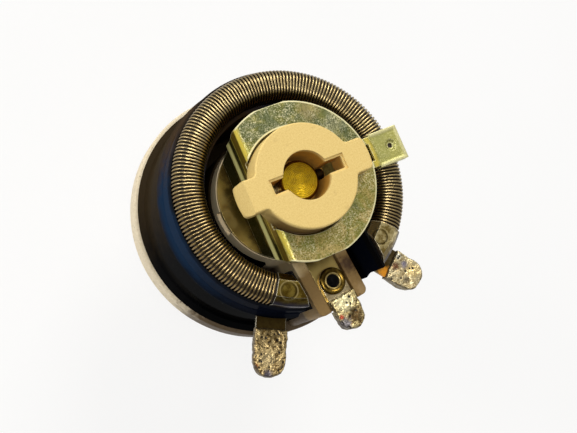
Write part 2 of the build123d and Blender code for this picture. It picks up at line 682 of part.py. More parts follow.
# The contact plate is one stamping: a round plate, a tab with turned-down rims over the winding
# and, opposite, a wall folded down to a foot that rides on the collector ring.
with BuildPart() as contact_plate:
    with BuildSketch(arm_level(plate_bottom)) as plate_plan:
        Circle(plate_r)
        Rectangle(2 * plate_r, 2 * plate_flat, mode=Mode.INTERSECT)
        with Locations(((tab_start + tab_end) / 2, 0)):
            Rectangle(tab_end - tab_start, TAB_W)
        with Locations((tab_start / 2, 0)):
            Rectangle(tab_start, NECK_W)
        with Locations((-FOLD_BACK + FOLD_R - plate_r, 0)):
            Rectangle(2 * plate_r, 2 * plate_r, mode=Mode.SUBTRACT)
        with Locations((window_start + WINDOW_L / 2, 0)):
            Rectangle(WINDOW_L, WINDOW_W, mode=Mode.SUBTRACT)
    extrude(amount=PLATE_T)
    # folded wall and foot, as a bent strip seen from the side
    with BuildSketch(arm_section()):
        foot_z = ring_top + CONTACT_GAP
        with BuildLine(mode=Mode.PRIVATE) as fold_path:
            FilletPolyline(
                (-FOLD_BACK + FOLD_R + PLATE_T, plate_top - PLATE_T / 2),
                (-FOLD_BACK + PLATE_T / 2, plate_top - PLATE_T / 2),
                (-FOLD_BACK + PLATE_T / 2, bead_z + BEAD_HALF),
                (-FOLD_BACK + PLATE_T / 2 - BEAD_OUT, bead_z),
                (-FOLD_BACK + PLATE_T / 2, bead_z - BEAD_HALF),
                (-FOLD_BACK + PLATE_T / 2, foot_knee_z),
                (-FOLD_BACK + PLATE_T / 2 - FOOT_KICK, foot_z + PLATE_T / 4),
                radius=[FOLD_R - PLATE_T / 2, BEAD_R, BEAD_R, BEAD_R, BEAD_R],
            )
        trace(fold_path.line, line_width=PLATE_T)
        with Locations((-FOLD_BACK, foot_z)):
            Rectangle(4 * FOOT_KICK, 2 * PLATE_T, align=(Align.CENTER, Align.MAX),
                      mode=Mode.SUBTRACT)
    extrude(amount=plate_r, both=True)
    with BuildSketch(arm_cross_section()):
        with BuildLine():
            Polyline(
                (-wall_half_foot, foot_z - PLATE_T),
                (wall_half_foot, foot_z - PLATE_T),
                (wall_half_knee, foot_knee_z),
                (wall_half_top, plate_bottom - FOLD_R),
                (2 * plate_r, plate_bottom - FOLD_R),
                (2 * plate_r, plate_top + PLATE_T),
                (-2 * plate_r, plate_top + PLATE_T),
                (-2 * plate_r, plate_bottom - FOLD_R),
                (-wall_half_top, plate_bottom - FOLD_R),
                (-wall_half_knee, foot_knee_z),
                close=True,
            )
        make_face()
    extrude(amount=2 * plate_r, both=True, mode=Mode.INTERSECT)
    # the ends of the fold carry on the plate's round rim
    with BuildSketch(arm_level(plate_bottom - FOLD_R)):
        Rectangle(4 * plate_r, 4 * plate_r, align=(Align.MAX, Align.CENTER))
        Circle(plate_r, mode=Mode.SUBTRACT)
    extrude(amount=FOLD_R + PLATE_T, mode=Mode.SUBTRACT)
    # rims turned down at the tab's end and sides
    with BuildSketch(arm_level(plate_bottom - TAB_RIM)):
        with Locations(((tab_start + tab_end) / 2, 0)):
            Rectangle(tab_end - tab_start, TAB_W)
        with Locations(((tab_start + tab_end) / 2 - PLATE_T, 0)):
            Rectangle(tab_end - tab_start, TAB_W - 2 * PLATE_T, mode=Mode.SUBTRACT)
    extrude(amount=TAB_RIM)
    # hole for the hub, and the punched dimple in the tab
    with BuildSketch(Plane.XY.offset(hub_shoulder - PLATE_T)):
        Circle(HUB_R + HUB_HOLE_GAP)
    extrude(amount=PLATE_T + plate_top, mode=Mode.SUBTRACT)
    with BuildSketch(arm_level(plate_top)):
        with Locations((dimple_at, 0)):
            Circle(DIMPLE_R)
    extrude(amount=-DIMPLE_DEPTH, taper=DIMPLE_SLOPE, mode=Mode.SUBTRACT)
    with BuildSketch(arm_level(plate_bottom)):
        with Locations((dimple_at, 0)):
            Circle(DIMPLE_HOLE_R)
    extrude(amount=PLATE_T, mode=Mode.SUBTRACT)
save(contact_plate, "contact_plate")

with BuildPart() as contact_brush:
    with BuildSketch(arm_level(COIL_TOP + CONTACT_GAP)) as brush_plan:
        with Locations(((brush_in + brush_out) / 2, 0)):
            Rectangle(brush_out - brush_in, BRUSH_W)
        fillet(brush_plan.vertices(), BRUSH_ROUND)
    extrude(amount=plate_bottom - COIL_TOP - CONTACT_GAP)
save(contact_brush, "contact_brush")
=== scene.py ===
# %% [markdown]
# # A wire-wound rheostat
# A rheostat is a resistor whose value is set by turning a shaft.  A ring of bare resistance
# wire sits on a ceramic base, and a sprung brush on a ceramic hub sweeps over its crown.
# This notebook starts from the engineering solids, which already have every main shape and
# size, and gives them what solids can't hold: round wire, a cut thread, lumpy solder and the
# finish of each material.
#
# The first cell loads the solids.  Every length below is in metres in the same frame, so a
# new piece is made where the solid it stands for is, and nothing has to be fitted afterwards.

# %% Load the solids
import math
import random

import bmesh
import bpy
from mathutils import Matrix, Vector, noise


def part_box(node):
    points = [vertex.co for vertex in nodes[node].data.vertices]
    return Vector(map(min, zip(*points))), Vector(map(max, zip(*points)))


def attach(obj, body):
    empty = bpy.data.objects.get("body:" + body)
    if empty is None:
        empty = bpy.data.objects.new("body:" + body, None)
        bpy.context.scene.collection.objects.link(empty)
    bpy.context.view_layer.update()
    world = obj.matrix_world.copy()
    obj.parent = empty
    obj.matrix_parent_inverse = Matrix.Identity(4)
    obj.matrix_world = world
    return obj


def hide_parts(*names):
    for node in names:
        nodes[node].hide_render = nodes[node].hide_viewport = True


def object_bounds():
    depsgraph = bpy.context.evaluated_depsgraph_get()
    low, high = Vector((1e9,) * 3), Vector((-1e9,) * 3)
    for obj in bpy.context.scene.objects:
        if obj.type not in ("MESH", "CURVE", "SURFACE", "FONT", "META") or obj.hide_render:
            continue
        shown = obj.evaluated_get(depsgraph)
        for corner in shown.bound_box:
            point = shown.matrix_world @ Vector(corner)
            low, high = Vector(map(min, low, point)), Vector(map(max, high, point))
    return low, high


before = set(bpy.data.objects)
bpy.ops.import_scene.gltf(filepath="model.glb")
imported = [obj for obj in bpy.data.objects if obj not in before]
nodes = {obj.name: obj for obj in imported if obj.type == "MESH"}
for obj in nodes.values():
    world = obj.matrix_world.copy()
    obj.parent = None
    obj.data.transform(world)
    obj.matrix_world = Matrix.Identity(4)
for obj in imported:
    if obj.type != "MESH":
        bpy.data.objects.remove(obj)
cad_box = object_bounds()
MM = 0.001
print("solids:", len(nodes), "box:", [round(side / MM, 1) for side in cad_box[1] - cad_box[0]])

# %% [markdown]
# ## Helpers for shader nodes
# A node material is a small graph.  Building graphs by hand takes many lines, so these
# helpers add one node, set its values and link its inputs in a single call.  They all work on
# the tree that was opened last, which Bench remembers.  Colours are written the way a paint
# chart gives them, three values from 0 to 255, and feed turns them into linear light.
# Patterns read Object coordinates, in millimetres here, so that a grain of a third of a
# millimetre is simply a size of 0.3.

# %% Colours, and nodes made and fed
def paint(red, green, blue):
    """Linear colour of a paint-chart value from 0 to 255."""
    chart = [channel / 255 for channel in (red, green, blue)]
    linear = [c / 12.92 if c <= 0.04045 else ((c + 0.055) / 1.055) ** 2.4 for c in chart]
    return (*linear, 1.0)


class Bench:
    """Holds the node tree that is being built."""
    tree = None


def feed(socket, value):
    """Links value to socket if it is an output, and otherwise sets it."""
    if isinstance(value, bpy.types.NodeSocket):
        Bench.tree.links.new(value, socket)
    elif socket.type == "RGBA" and len(value) == 3:
        socket.default_value = paint(*value)
    else:
        socket.default_value = value


def put(kind, feeds=None, family="ShaderNode", **settings):
    """Adds a node, sets its settings and feeds its inputs by name or number."""
    made = Bench.tree.nodes.new(family + kind)
    for name, value in settings.items():
        setattr(made, name, value)
    for name, value in (feeds or {}).items():
        feed(made.inputs[name], value)
    return made


def spaced(values):
    """Values by socket name; an argument has _ where the name has a space."""
    return {label.replace("_", " "): value for label, value in values.items()}


print("mid grey in linear light:", round(paint(128, 128, 128)[0], 3))

# %% [markdown]
# Sums, masks and mixes are made of the same few nodes again and again, so each of them gets a
# short name that says what it does to a value or a colour.

# %% Sums, mixes and patterns
def maths(operation, *values, clamp=False):
    """Value of a Math node."""
    made = put("Math", dict(enumerate(values)), operation=operation, use_clamp=clamp)
    return made.outputs[0]


def plus(first, second):
    """Sum of two values."""
    return maths("ADD", first, second)


def minus(first, second, clamp=False):
    """First value less the second."""
    return maths("SUBTRACT", first, second, clamp=clamp)


def slope(value, factor, offset, clamp=False):
    """Value times a factor, plus an offset."""
    return maths("MULTIPLY_ADD", value, factor, offset, clamp=clamp)


def times(*values):
    """Product of values."""
    product = values[0]
    for value in values[1:]:
        product = maths("MULTIPLY", product, value)
    return product


def most(*values):
    """Largest of values."""
    largest = values[0]
    for value in values[1:]:
        largest = maths("MAXIMUM", largest, value)
    return largest


def mix(amount, low, high, way="MIX"):
    """Colour between low and high."""
    made = put("Mix", {0: amount, 6: low, 7: high}, data_type="RGBA", blend_type=way)
    return made.outputs[2]


def lay_over(colour, tone, mask, strength):
    """Colour with a tone laid over it, as strong as mask times strength; it lays on marks and
    painted light.
    """
    return mix(times(mask, strength), colour, tone)


def shade(colour, tone, mask):
    """Colour darkened by a tone where mask is 1."""
    return mix(mask, colour, tone, "MULTIPLY")


def fade(value, start, end, low=0.0, high=1.0):
    """Smooth step: low below start, high above end."""
    made = put("MapRange", {0: value, 1: start, 2: end, 3: low, 4: high},
               interpolation_type="SMOOTHSTEP")
    return made.outputs[0]


def clouds(where, size, detail=3.0, roughness=0.55, bend=0.0):
    """Soft noise whose features are about size millimetres across."""
    made = put("TexNoise", {"Vector": where, "Scale": 1.0 / size, "Detail": detail,
                            "Roughness": roughness, "Distortion": bend})
    return made.outputs["Fac"]


def millimetres(stretch=(1, 1, 1), turn=(0, 0, 0)):
    """Object coordinates in millimetres, stretched and turned."""
    place = put("TexCoord").outputs["Object"]
    scale = [1 / MM / side for side in stretch]
    return put("Mapping", {"Vector": place, "Rotation": turn, "Scale": scale}).outputs[0]


# %% [markdown]
# ## Effects that several finishes share
# Every metal here has tarnish in patches, every ceramic has a grain with pores, and thin
# metal has edges that catch the light.  Each of these is a node group, built once with named
# inputs.  A group gives out only masks, heights and normals, and the shader that uses them
# stays in the material.

# %% Shared effects as node groups
def effect(name, inputs, outputs):
    """An empty node group with its named sockets; returns it with its two end nodes."""
    group = bpy.data.node_groups.new(name, "ShaderNodeTree")
    Bench.tree = group
    for label, value in inputs.items():
        group.interface.new_socket(label, in_out="INPUT", socket_type="NodeSocketFloat")
        group.interface.items_tree[label].default_value = value
    for label, kind in outputs.items():
        group.interface.new_socket(label, in_out="OUTPUT", socket_type="NodeSocket" + kind)
    return group, group.nodes.new("NodeGroupInput"), group.nodes.new("NodeGroupOutput")


def patchy_tarnish():
    """Mask of soft patches with a finer break-up inside them."""
    group, entry, leave = effect("Patchy tarnish", {"Patch Size": 2.0, "Cover": 0.5, "Offset": 0.0},
                                 {"Mask": "Float"})
    spread = put("CombineXYZ", {0: entry.outputs["Offset"]}).outputs[0]
    where = put("VectorMath", {0: millimetres(), 1: spread}, operation="ADD").outputs[0]
    rate = maths("DIVIDE", 1.0, entry.outputs["Patch Size"])
    broad = put("TexNoise", {"Vector": where, "Scale": rate, "Detail": 6.0,
                             "Roughness": 0.62}).outputs["Fac"]
    edge = minus(1.0, entry.outputs["Cover"])
    low = minus(slope(edge, 0.5, 0.25), 0.09)
    high = plus(low, 0.18)
    mask = fade(broad, 0.4, 0.6)
    feed(mask.node.inputs[1], low)
    feed(mask.node.inputs[2], high)
    feed(leave.inputs["Mask"], mask)
    return group


def ceramic_grain():
    """Fine tone, open pores and height of a fired, unglazed body."""
    group, entry, leave = effect("Ceramic grain", {"Grain Size": 0.3, "Pores": 0.5},
                                 {"Tone": "Float", "Pore Mask": "Float", "Height": "Float"})
    where = millimetres()
    rate = maths("DIVIDE", 1.0, entry.outputs["Grain Size"])
    grain = put("TexNoise", {"Vector": where, "Scale": rate, "Detail": 5.0,
                             "Roughness": 0.7}).outputs["Fac"]
    cells = put("TexVoronoi", {"Vector": where, "Scale": times(rate, 0.8),
                               "Randomness": 1.0}).outputs["Distance"]
    lone = clouds(where, 0.9, 2.0)
    near = fade(cells, 0.0, 0.22, 1.0, 0.0)
    pore = times(near, fade(lone, 0.5, 0.62))
    pore = maths("MULTIPLY", pore, entry.outputs["Pores"], clamp=True)
    feed(leave.inputs["Tone"], grain)
    feed(leave.inputs["Pore Mask"], pore)
    feed(leave.inputs["Height"], minus(grain, pore))
    return group


def soft_edges():
    """Normal rounded over sharp edges, and a mask that marks those edges."""
    group, entry, leave = effect("Soft edges", {"Width": 0.12},
                                 {"Edge": "Float", "Normal": "Vector"})
    width = times(entry.outputs["Width"], MM)
    rounded = put("Bevel", {"Radius": width}, samples=6).outputs[0]
    true_normal = put("NewGeometry").outputs["Normal"]
    same = put("VectorMath", {0: rounded, 1: true_normal}, operation="DOT_PRODUCT")
    feed(leave.inputs["Edge"], fade(same.outputs["Value"], 0.86, 0.995, 1.0, 0.0))
    feed(leave.inputs["Normal"], rounded)
    return group


def hairlines():
    """Mask of fine straight scratches in one direction across a face."""
    group, entry, leave = effect("Hairlines", {"Turn": 0.0, "Density": 0.5}, {"Mask": "Float"})
    turn = put("CombineXYZ", {2: entry.outputs["Turn"]}).outputs[0]
    place = put("TexCoord").outputs["Object"]
    where = put("Mapping", {"Vector": place, "Rotation": turn,
                            "Scale": (90, 7000, 900)}).outputs[0]
    lines = put("TexNoise", {"Vector": where, "Scale": 1.0, "Detail": 2.0}).outputs["Fac"]
    limit = slope(entry.outputs["Density"], -0.2, 0.75)
    feed(leave.inputs["Mask"], fade(minus(lines, limit), 0.0, 0.06))
    return group


EFFECTS = {made.name: made
           for made in (patchy_tarnish(), ceramic_grain(), soft_edges(), hairlines())}


def use(name, **values):
    """Places a shared effect in a material."""
    return put("Group", spaced(values), node_tree=EFFECTS[name]).outputs


print("shared effects:", ", ".join(EFFECTS))

# %% [markdown]
# ## A material with one shader
# Each finish has one Principled shader.  What is the same all over the surface is set on the
# shader's own sockets.  What changes over the surface is fed in: colour, roughness, metallic
# and the normal, which always ends in a Bump node.

# %% Start and finish a material
def finish(name, **plain):
    """A new material with a Principled shader whose plain values are set by socket name."""
    made = bpy.data.materials.new(name)
    made.use_nodes = True
    Bench.tree = made.node_tree
    shader = made.node_tree.nodes["Principled BSDF"]
    for label, value in spaced(plain).items():
        shader.inputs[label].default_value = value
    print("finish:", name)
    return made, shader


def surface(shader, height=None, depth=0.02, base_normal=None, **fed):
    """Feeds the shader, with height, in millimetres of depth, as its bump."""
    for label, value in spaced(fed).items():
        feed(shader.inputs[label], value)
    if height is not None:
        bump = put("Bump", {"Height": height, "Distance": depth * MM, "Strength": 1.0})
        if base_normal is not None:
            feed(bump.inputs["Normal"], base_normal)
        feed(shader.inputs["Normal"], bump.outputs[0])


def axis_distance(centre=(0, 0), turn=0.0):
    """Distance from a line parallel to Z, height along it, and the place, in millimetres."""
    spot = put("SeparateXYZ", {0: millimetres(turn=(0, 0, turn))}).outputs
    across = minus(spot[0], centre[0])
    along = minus(spot[1], centre[1])
    square = plus(times(across, across), times(along, along))
    return maths("SQRT", square), spot[2], spot


def leaning(place, across, along):
    """How far a place lies in one direction, given by its parts across and along."""
    return plus(times(place[0], across), times(place[1], along))


def near_spot(centre, reach):
    """Mask that is 1 at a spot, in millimetres, and fades out at reach, with a ragged rim."""
    where = millimetres()
    gap = put("VectorMath", {0: where, 1: centre}, operation="DISTANCE").outputs["Value"]
    ragged = slope(clouds(where, 0.5), reach * 0.9, gap)
    return fade(ragged, reach * 0.75, reach * 1.45, 1.0, 0.0)


def toward(radius, spot, across, along, rough=0.25):
    """How far a place lies to one side of the axis, from -1 to 1, with a ragged border."""
    lean = leaning(spot, across, along)
    ragged = slope(clouds(millimetres(), 1.2), rough, rough * -0.5)
    return plus(maths("DIVIDE", lean, radius), ragged)


def within(value, low, high, soft):
    """Mask that is 1 between low and high and fades over soft on both sides."""
    rise = fade(value, low - soft, low + soft)
    return times(rise, fade(value, high + soft, high - soft))


# %% [markdown]
# ## Ceramic finishes
# The base, the hub and the core are pressed and fired steatite without a glaze.  The base is
# ivory and a little dirty round its rim, the hub is a warmer tan, and the core under the wire
# has gone dark brown from firing with the enamel.  Painted shade darkens the base above its
# foot, on its bridge, along its lower front and under the eyelet, and the hub on its lower
# front side and in its bore; painted light brightens the left of the base's boss.

# %% Ceramic finishes
def ceramic(name, pale, deep, dirt, grain_size, dirt_cover, pores=0.6, recolour=None):
    """Unglazed ceramic from pale to deep, with dirt in its pores and in soft smudges."""
    made, shader = finish(name)
    grain = use("Ceramic grain", Grain_Size=grain_size, Pores=pores)
    soft = use("Soft edges", Width=0.16)
    smudge = use("Patchy tarnish", Patch_Size=2.6, Cover=dirt_cover, Offset=7.0)["Mask"]
    colour = mix(fade(grain["Tone"], 0.3, 0.7), deep, pale)
    colour = lay_over(colour, dirt, smudge, 0.55)
    colour = mix(grain["Pore Mask"], colour, dirt)
    colour = lay_over(colour, pale, soft["Edge"], 0.3)
    # The piece's own function lays on its marks and its painted light and shade.
    if recolour:
        colour = recolour(colour)
    surface(shader, grain["Height"], 0.02, soft["Normal"], Base_Color=colour,
            Roughness=fade(grain["Tone"], 0.2, 0.8, 0.52, 0.74))
    return made


def base_dirt_and_painted_light(colour):
    """Painted shade above the foot, on the bridge, along the lower front and under the eyelet;
    painted light on the boss; dirt marks and a worn rib end.
    """
    radius, height, spot = axis_distance()
    # Painted shade: the base is darker above its foot, where the plate and winding shade it.
    colour = shade(colour, (222, 206, 168), fade(height, 4.0, 9.0))
    marks = fade(clouds(millimetres(), 0.45, 2.0), 0.66, 0.7)
    colour = lay_over(colour, (120, 104, 84), marks, 0.5)
    # Painted shade along the lower front, which faces away from the lamps.
    front = within(toward(radius, spot, -0.35, -0.94), 0.72, 2.0, 0.1)
    front = times(front, fade(height, 12.5, 11.0))
    colour = shade(colour, (105, 92, 74), front)
    # Painted shade on the bridge and on its right rib.
    bridge = times(within(spot[0], -6.0, 7.0, 0.4), fade(spot[1], -11.0, -12.5))
    bridge = times(bridge, fade(front, 1.0, 0.0))
    colour = shade(colour, (188, 172, 140), bridge)
    colour = shade(colour, (136, 116, 96), near_spot(RIB_PAINTED_SHADE, 2.2))
    colour = lay_over(colour, (190, 160, 112), near_spot(RIB_WEAR, 1.6), 0.6)
    # Painted light: the left of the boss, down in the well, is made lighter.
    boss = times(within(radius, 8.0, 12.9, 0.2), fade(height, 9.0, 12.0),
                 fade(spot[0], -3.0, -6.0))
    colour = lay_over(colour, (255, 236, 196), boss, 0.9)
    # Painted shade on the base seen down the eyelet's bore.
    hole, _, _ = axis_distance(EYELET_AT)
    painted_eyelet_shade = times(fade(hole, 4.5, 3.0), fade(height, 14.0, 12.0))
    return shade(colour, (34, 26, 18), painted_eyelet_shade)


def hub_painted_shade(colour):
    """Painted shade on the hub's lower front side and down in its bore and slot."""
    radius, height, spot = axis_distance()
    below = fade(height, HUB_TOP - 0.3, HUB_TOP - 1.1)
    # Painted shade on the lower front side, which faces away from the shoulder lamp.
    front = within(toward(radius, spot, -0.25, -0.97), 0.6, 2.0, 0.2)
    outer = times(front, fade(radius, 5.5, 6.5), below)
    colour = shade(colour, (138, 122, 102), outer)
    # Painted shade down in the bore and slot.
    bore = times(fade(radius, 7.0, 5.5), below)
    return shade(colour, (204, 176, 120), bore)


HUB_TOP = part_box("hub")[1].z / MM
RIB_PAINTED_SHADE = (3.6, -13.9, 16.5)
RIB_WEAR = (3.6, -18.0, 16.5)
eyelet_low, eyelet_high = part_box("eyelet")
EYELET_AT = (0.0, (eyelet_low.y + eyelet_high.y) / 2 / MM)
base_ceramic = ceramic("Ivory base ceramic", (240, 228, 202), (224, 209, 178),
                       (150, 128, 96), 0.4, 0.12, recolour=base_dirt_and_painted_light)
hub_ceramic = ceramic("Tan hub ceramic", (248, 220, 144), (234, 202, 120),
                      (190, 154, 84), 0.22, 0.1, pores=0.35, recolour=hub_painted_shade)
core_ceramic = ceramic("Fired core ceramic", (62, 46, 30), (36, 26, 17), (14, 10, 8), 0.3, 0.5)

# %% [markdown]
# ## Vitreous enamel
# The enamel is glass fused over the coil.  It is nearly black in its thick lower part and dark
# blue where it thins out over the winding, and its surface has the slow waviness of something
# that flowed.  Both parts are painted lighter and browner on the side that faces the side lamp,
# as a painted reflection, and the blue is partly a painted sheen.  A coat layer gives its
# glassy top reflection.

# %% Vitreous enamel
def enamel_finish():
    """Black below and blue above, with a painted brown reflection on the side lamp's side and a
    dark top rim.
    """
    made, shader = finish("Vitreous enamel", Specular_IOR_Level=0.0,
                          Coat_Weight=0.03, Coat_Roughness=0.08)
    radius, height, spot = axis_distance()
    where = millimetres()
    ripple = times(clouds(where, 0.5), 0.12)
    waves = plus(clouds(where, 2.8, 1.0), ripple)
    sag = slope(clouds(where, 3.0), 1.4, -0.7)
    step = plus(height, sag)
    # Painted reflection: the enamel grows lighter and browner toward the side lamp, and its blue is
    # partly painted sheen.
    side = maths("DIVIDE", leaning(spot, -0.34, 0.94), radius)
    wander = slope(clouds(where, 1.3, 3.0), 0.3, -0.15)
    side = plus(side, wander)
    lower = mix(fade(side, -0.3, 0.25), (3, 4, 5), (14, 14, 15))
    lower = mix(fade(side, 0.25, 0.85), lower, (48, 39, 26))
    upper = mix(fade(side, -0.4, 0.4), (14, 19, 32), (23, 44, 70))
    upper = mix(fade(side, 0.7, 1.0), upper, (64, 50, 34))
    colour = mix(fade(step, 13.6, 15.9), lower, upper)
    colour = mix(fade(step, 19.0, 20.4), colour, (20, 20, 22))
    speck = fade(clouds(where, 0.35, 4.0), 0.68, 0.74)
    colour = lay_over(colour, (40, 38, 34), speck, 0.4)
    surface(shader, waves, 0.16, Base_Color=colour,
            Roughness=fade(clouds(where, 1.6), 0.3, 0.7, 0.2, 0.34))
    return made


vitreous_enamel = enamel_finish()

# %% [markdown]
# ## Metal finishes
# All the metal parts share one recipe: a clean colour, a tarnish colour laid on in patches,
# fine speckle, hairline scratches and pale edges, which are painted highlights.  The values
# make the difference between a tinned strip, old brass and bright brass.

# %% Plain metals
def metal(name, clean, tarnish, cover, patch=1.8, rough=(0.25, 0.45), edge=None,
          edge_width=0.1, recolour=None):
    """Metal from clean to tarnished, and stained(colour, height) adds its own marks."""
    made, shader = finish(name)
    soft = use("Soft edges", Width=edge_width)
    patches = use("Patchy tarnish", Patch_Size=patch, Cover=cover, Offset=0.0)["Mask"]
    lines = use("Hairlines", Turn=0.4, Density=0.4)["Mask"]
    fine = clouds(millimetres(), 0.16, 3.0, 0.7)
    colour = mix(patches, clean, tarnish)
    colour = lay_over(colour, clean, fade(fine, 0.5, 0.7), 0.25)
    colour = lay_over(colour, tarnish, fade(fine, 0.5, 0.3), 0.25)
    polish = fade(patches, 0.0, 1.0, *rough)
    polish = slope(lines, -0.08, polish)
    height = slope(lines, -0.6, fine)
    flux_and_shade_mask = 0.0
    # Painted highlight: the edges are paler, and less metallic so that the pale colour shows.
    painted_edge_highlight = times(soft["Edge"], 0.75)
    # The piece's own function lays on its marks and its painted light and shade.
    if recolour:
        colour, height, flux_and_shade_mask = recolour(colour, height)
        painted_edge_highlight = times(painted_edge_highlight, minus(1.0, flux_and_shade_mask))
    colour = mix(painted_edge_highlight, colour, edge or clean)
    metallic = slope(soft["Edge"], -0.5, 1.0)
    surface(shader, height, 0.01, soft["Normal"], Base_Color=colour,
            Roughness=slope(flux_and_shade_mask, 0.5, polish, clamp=True),
            Metallic=minus(metallic, flux_and_shade_mask, clamp=True))
    return made


def strip_marks_and_painted_light(colour, height):
    """Each end strip has a shallow round punch mark with painted shade in its groove and a painted
    glint round it, a dark root and burnt flux on one lug.
    """
    radius, level, spot = axis_distance()
    left = fade(spot[0], 2.0, -2.0)
    colour = shade(colour, (170, 160, 106), left)
    for centre in PUNCH_MARKS:
        gap, _, _ = axis_distance(centre)
        # Painted shade in the punch mark's groove and a painted glint on its rim.
        painted_groove_shade = within(gap, 0.95, 1.15, 0.12)
        colour = lay_over(colour, (60, 50, 24), painted_groove_shade, 0.8)
        glint = within(gap, 1.25, 1.4, 0.08)
        colour = lay_over(colour, (214, 196, 140), glint, 0.5)
        height = slope(fade(gap, 1.15, 0.9), 3.0, height)
    lip = times(fade(radius, 16.9, 17.5), fade(level, 18.0, 19.0))
    colour = lay_over(colour, (70, 72, 92), lip, 0.8)
    root = times(fade(level, 17.0, 16.0), fade(radius, 21.6, 20.4))
    colour = lay_over(colour, (58, 44, 24), root, 0.85)
    flux = near_spot(BURNT_FLUX, 1.5)
    colour = mix(flux, colour, (246, 168, 40))
    return colour, height, times(flux, 0.7)


def lug_stains(colour, height):
    """The middle strip has gone brown up by the hub, and under the eyelet's flange."""
    _, _, spot = axis_distance()
    colour = shade(colour, (232, 212, 172), fade(spot[1], -15.5, -12.5))
    colour = mix(near_spot(FLANGE_STAIN, 1.6), colour, (130, 104, 46))
    return colour, height, 0.0


def collector_wear_and_painted_light(colour, height):
    """The collector is rubbed along its strap, and has painted light on its left side, down in the
    well.
    """
    _, _, spot = axis_distance()
    strap = fade(spot[1], -10.5, -13.0)
    # Painted light on the left side, down in the well.
    left = times(fade(spot[0], -7.6, -8.8), 0.75)
    brightened = times(most(strap, left), 0.85)
    return mix(brightened, colour, (196, 172, 104)), height, 0.0


def pin_painted_shade(colour, height):
    """One end of the cross pin, deep in its slot, has painted shade; the other end stays clean."""
    _, _, spot = axis_distance()
    # Painted shade on the pin's right end.
    return mix(fade(spot[0], -3.0, 1.0), colour, (62, 50, 30)), height, 0.0


def eyelet_painted_light(colour, height):
    """The eyelet's rolled flange is dark, its inner lip has a painted highlight and its bore
    painted shade.
    """
    gap, _, _ = axis_distance(EYELET_AT)
    # Painted highlight on the inner lip.
    colour = lay_over(colour, (214, 190, 124), fade(gap, 1.3, 1.15), 0.8)
    # Painted shade down the bore, which is also made non-metallic.
    bore = fade(gap, 1.02, 0.96)
    return mix(bore, colour, (14, 10, 6)), height, bore


PUNCH_MARKS = ((-8.68, -12.85), (7.79, -12.58))
BURNT_FLUX = (9.5, -18.1, 14.6)
FLANGE_STAIN = (2.2, -17.2, 18.0)
end_strip_metal = metal("Tarnished end strip", (222, 204, 148), (122, 104, 56), 0.5,
                        edge=(252, 248, 226), edge_width=0.15, rough=(0.28, 0.42),
                        recolour=strip_marks_and_painted_light)
lug_metal = metal("Tinned middle strip", (224, 206, 164), (150, 128, 84), 0.35,
                  edge=(250, 240, 205), recolour=lug_stains)
collector_metal = metal("Aged collector brass", (132, 114, 62), (72, 58, 26), 0.5,
                        patch=3.0, rough=(0.3, 0.45), edge=(214, 196, 140),
                        recolour=collector_wear_and_painted_light)
eyelet_brass = metal("Dark eyelet brass", (138, 112, 48), (70, 54, 20), 0.55, patch=1.2,
                     edge=(150, 124, 60), recolour=eyelet_painted_light)
bushing_brass = metal("Machined bushing brass", (214, 186, 112), (160, 128, 66), 0.35)
washer_steel = metal("Plated washer steel", (196, 196, 190), (128, 124, 112), 0.4)
oiled_steel = metal("Oiled washer steel", (82, 72, 54), (44, 36, 24), 0.6)
clip_steel = metal("Blued clip steel", (92, 92, 98), (48, 46, 46), 0.5)
pin_steel = metal("Cross pin steel", (172, 158, 118), (118, 102, 66), 0.5,
                  rough=(0.4, 0.55), recolour=pin_painted_shade)

# %% [markdown]
# The contact plate is zinc-plated steel dipped in yellow chromate.  That film is thin enough
# to colour by interference, so it wanders from gold through olive green to blue grey, and the
# zinc crystals under it show as pale speckles.  Its bends, edges and the bead on its wall carry
# painted yellow and pale highlights, and its turned-down walls a painted dark reflection.

# %% Yellow chromated zinc
ARM_TURN = math.radians(5.5)
PLATE_FACE = 24.7
HOLE_RADIUS = 7.9
RIM_RADIUS = 11.8
FOLD_LINE = -4.9
TAB_END = 17.45
TAB_HALF_WIDTH = 2.6
FILM = ((0.28, (106, 116, 80)), (0.38, (126, 130, 74)), (0.46, (160, 156, 84)),
        (0.54, (152, 152, 74)), (0.62, (180, 166, 90)), (0.72, (214, 192, 120)))


def film_colour(where, spot, fine):
    """The film's own colour, which drifts across the plate, with the zinc's speckle in it."""
    drift = slope(leaning(spot, -0.3, -0.95), 0.014, clouds(where, 3.2, 4.0, 0.62, 0.8))
    film = put("ValToRGB", {"Fac": drift})
    steps = film.color_ramp.elements
    for step, (place, tone) in zip(steps, (FILM[0], FILM[-1])):
        step.position, step.color = place, paint(*tone)
    for place, tone in FILM[1:-1]:
        steps.new(place).color = paint(*tone)
    dulled = near_spot((8.7, 5.0, PLATE_FACE), 2.2)
    colour = lay_over(film.outputs[0], (152, 156, 128), dulled, 0.7)
    rosy = near_spot((6.4, 8.6, PLATE_FACE), 2.4)
    colour = lay_over(colour, (186, 166, 118), rosy, 0.5)
    spread = fade(clouds(where, 2.4), 0.3, 0.55)
    bright = times(fade(fine, 0.51, 0.62), spread)
    colour = lay_over(colour, (248, 240, 200), bright, 0.95)
    return lay_over(colour, (78, 78, 38), fade(fine, 0.48, 0.37), 0.9)


def fold_marks(height, spot):
    """Masks of the painted highlights on the fold's bend and the wall's bead, and of the painted
    dark reflection in the band under the bend.
    """
    folded = fade(spot[0], FOLD_LINE, FOLD_LINE - 0.6)
    streak = fade(clouds(millimetres((1, 9, 1)), 1.0, 2.0), 0.42, 0.56)
    streak = slope(streak, 0.5, 0.5)
    bend = times(within(height, 24.05, 24.6, 0.12), folded, streak)
    line = times(within(height, 22.1, 22.3, 0.12), folded, 0.9)
    band = times(within(height, 22.5, 24.0, 0.2), folded)
    bead = times(within(height, 19.4, 21.0, 0.2), folded)
    return most(bend, line), band, bead


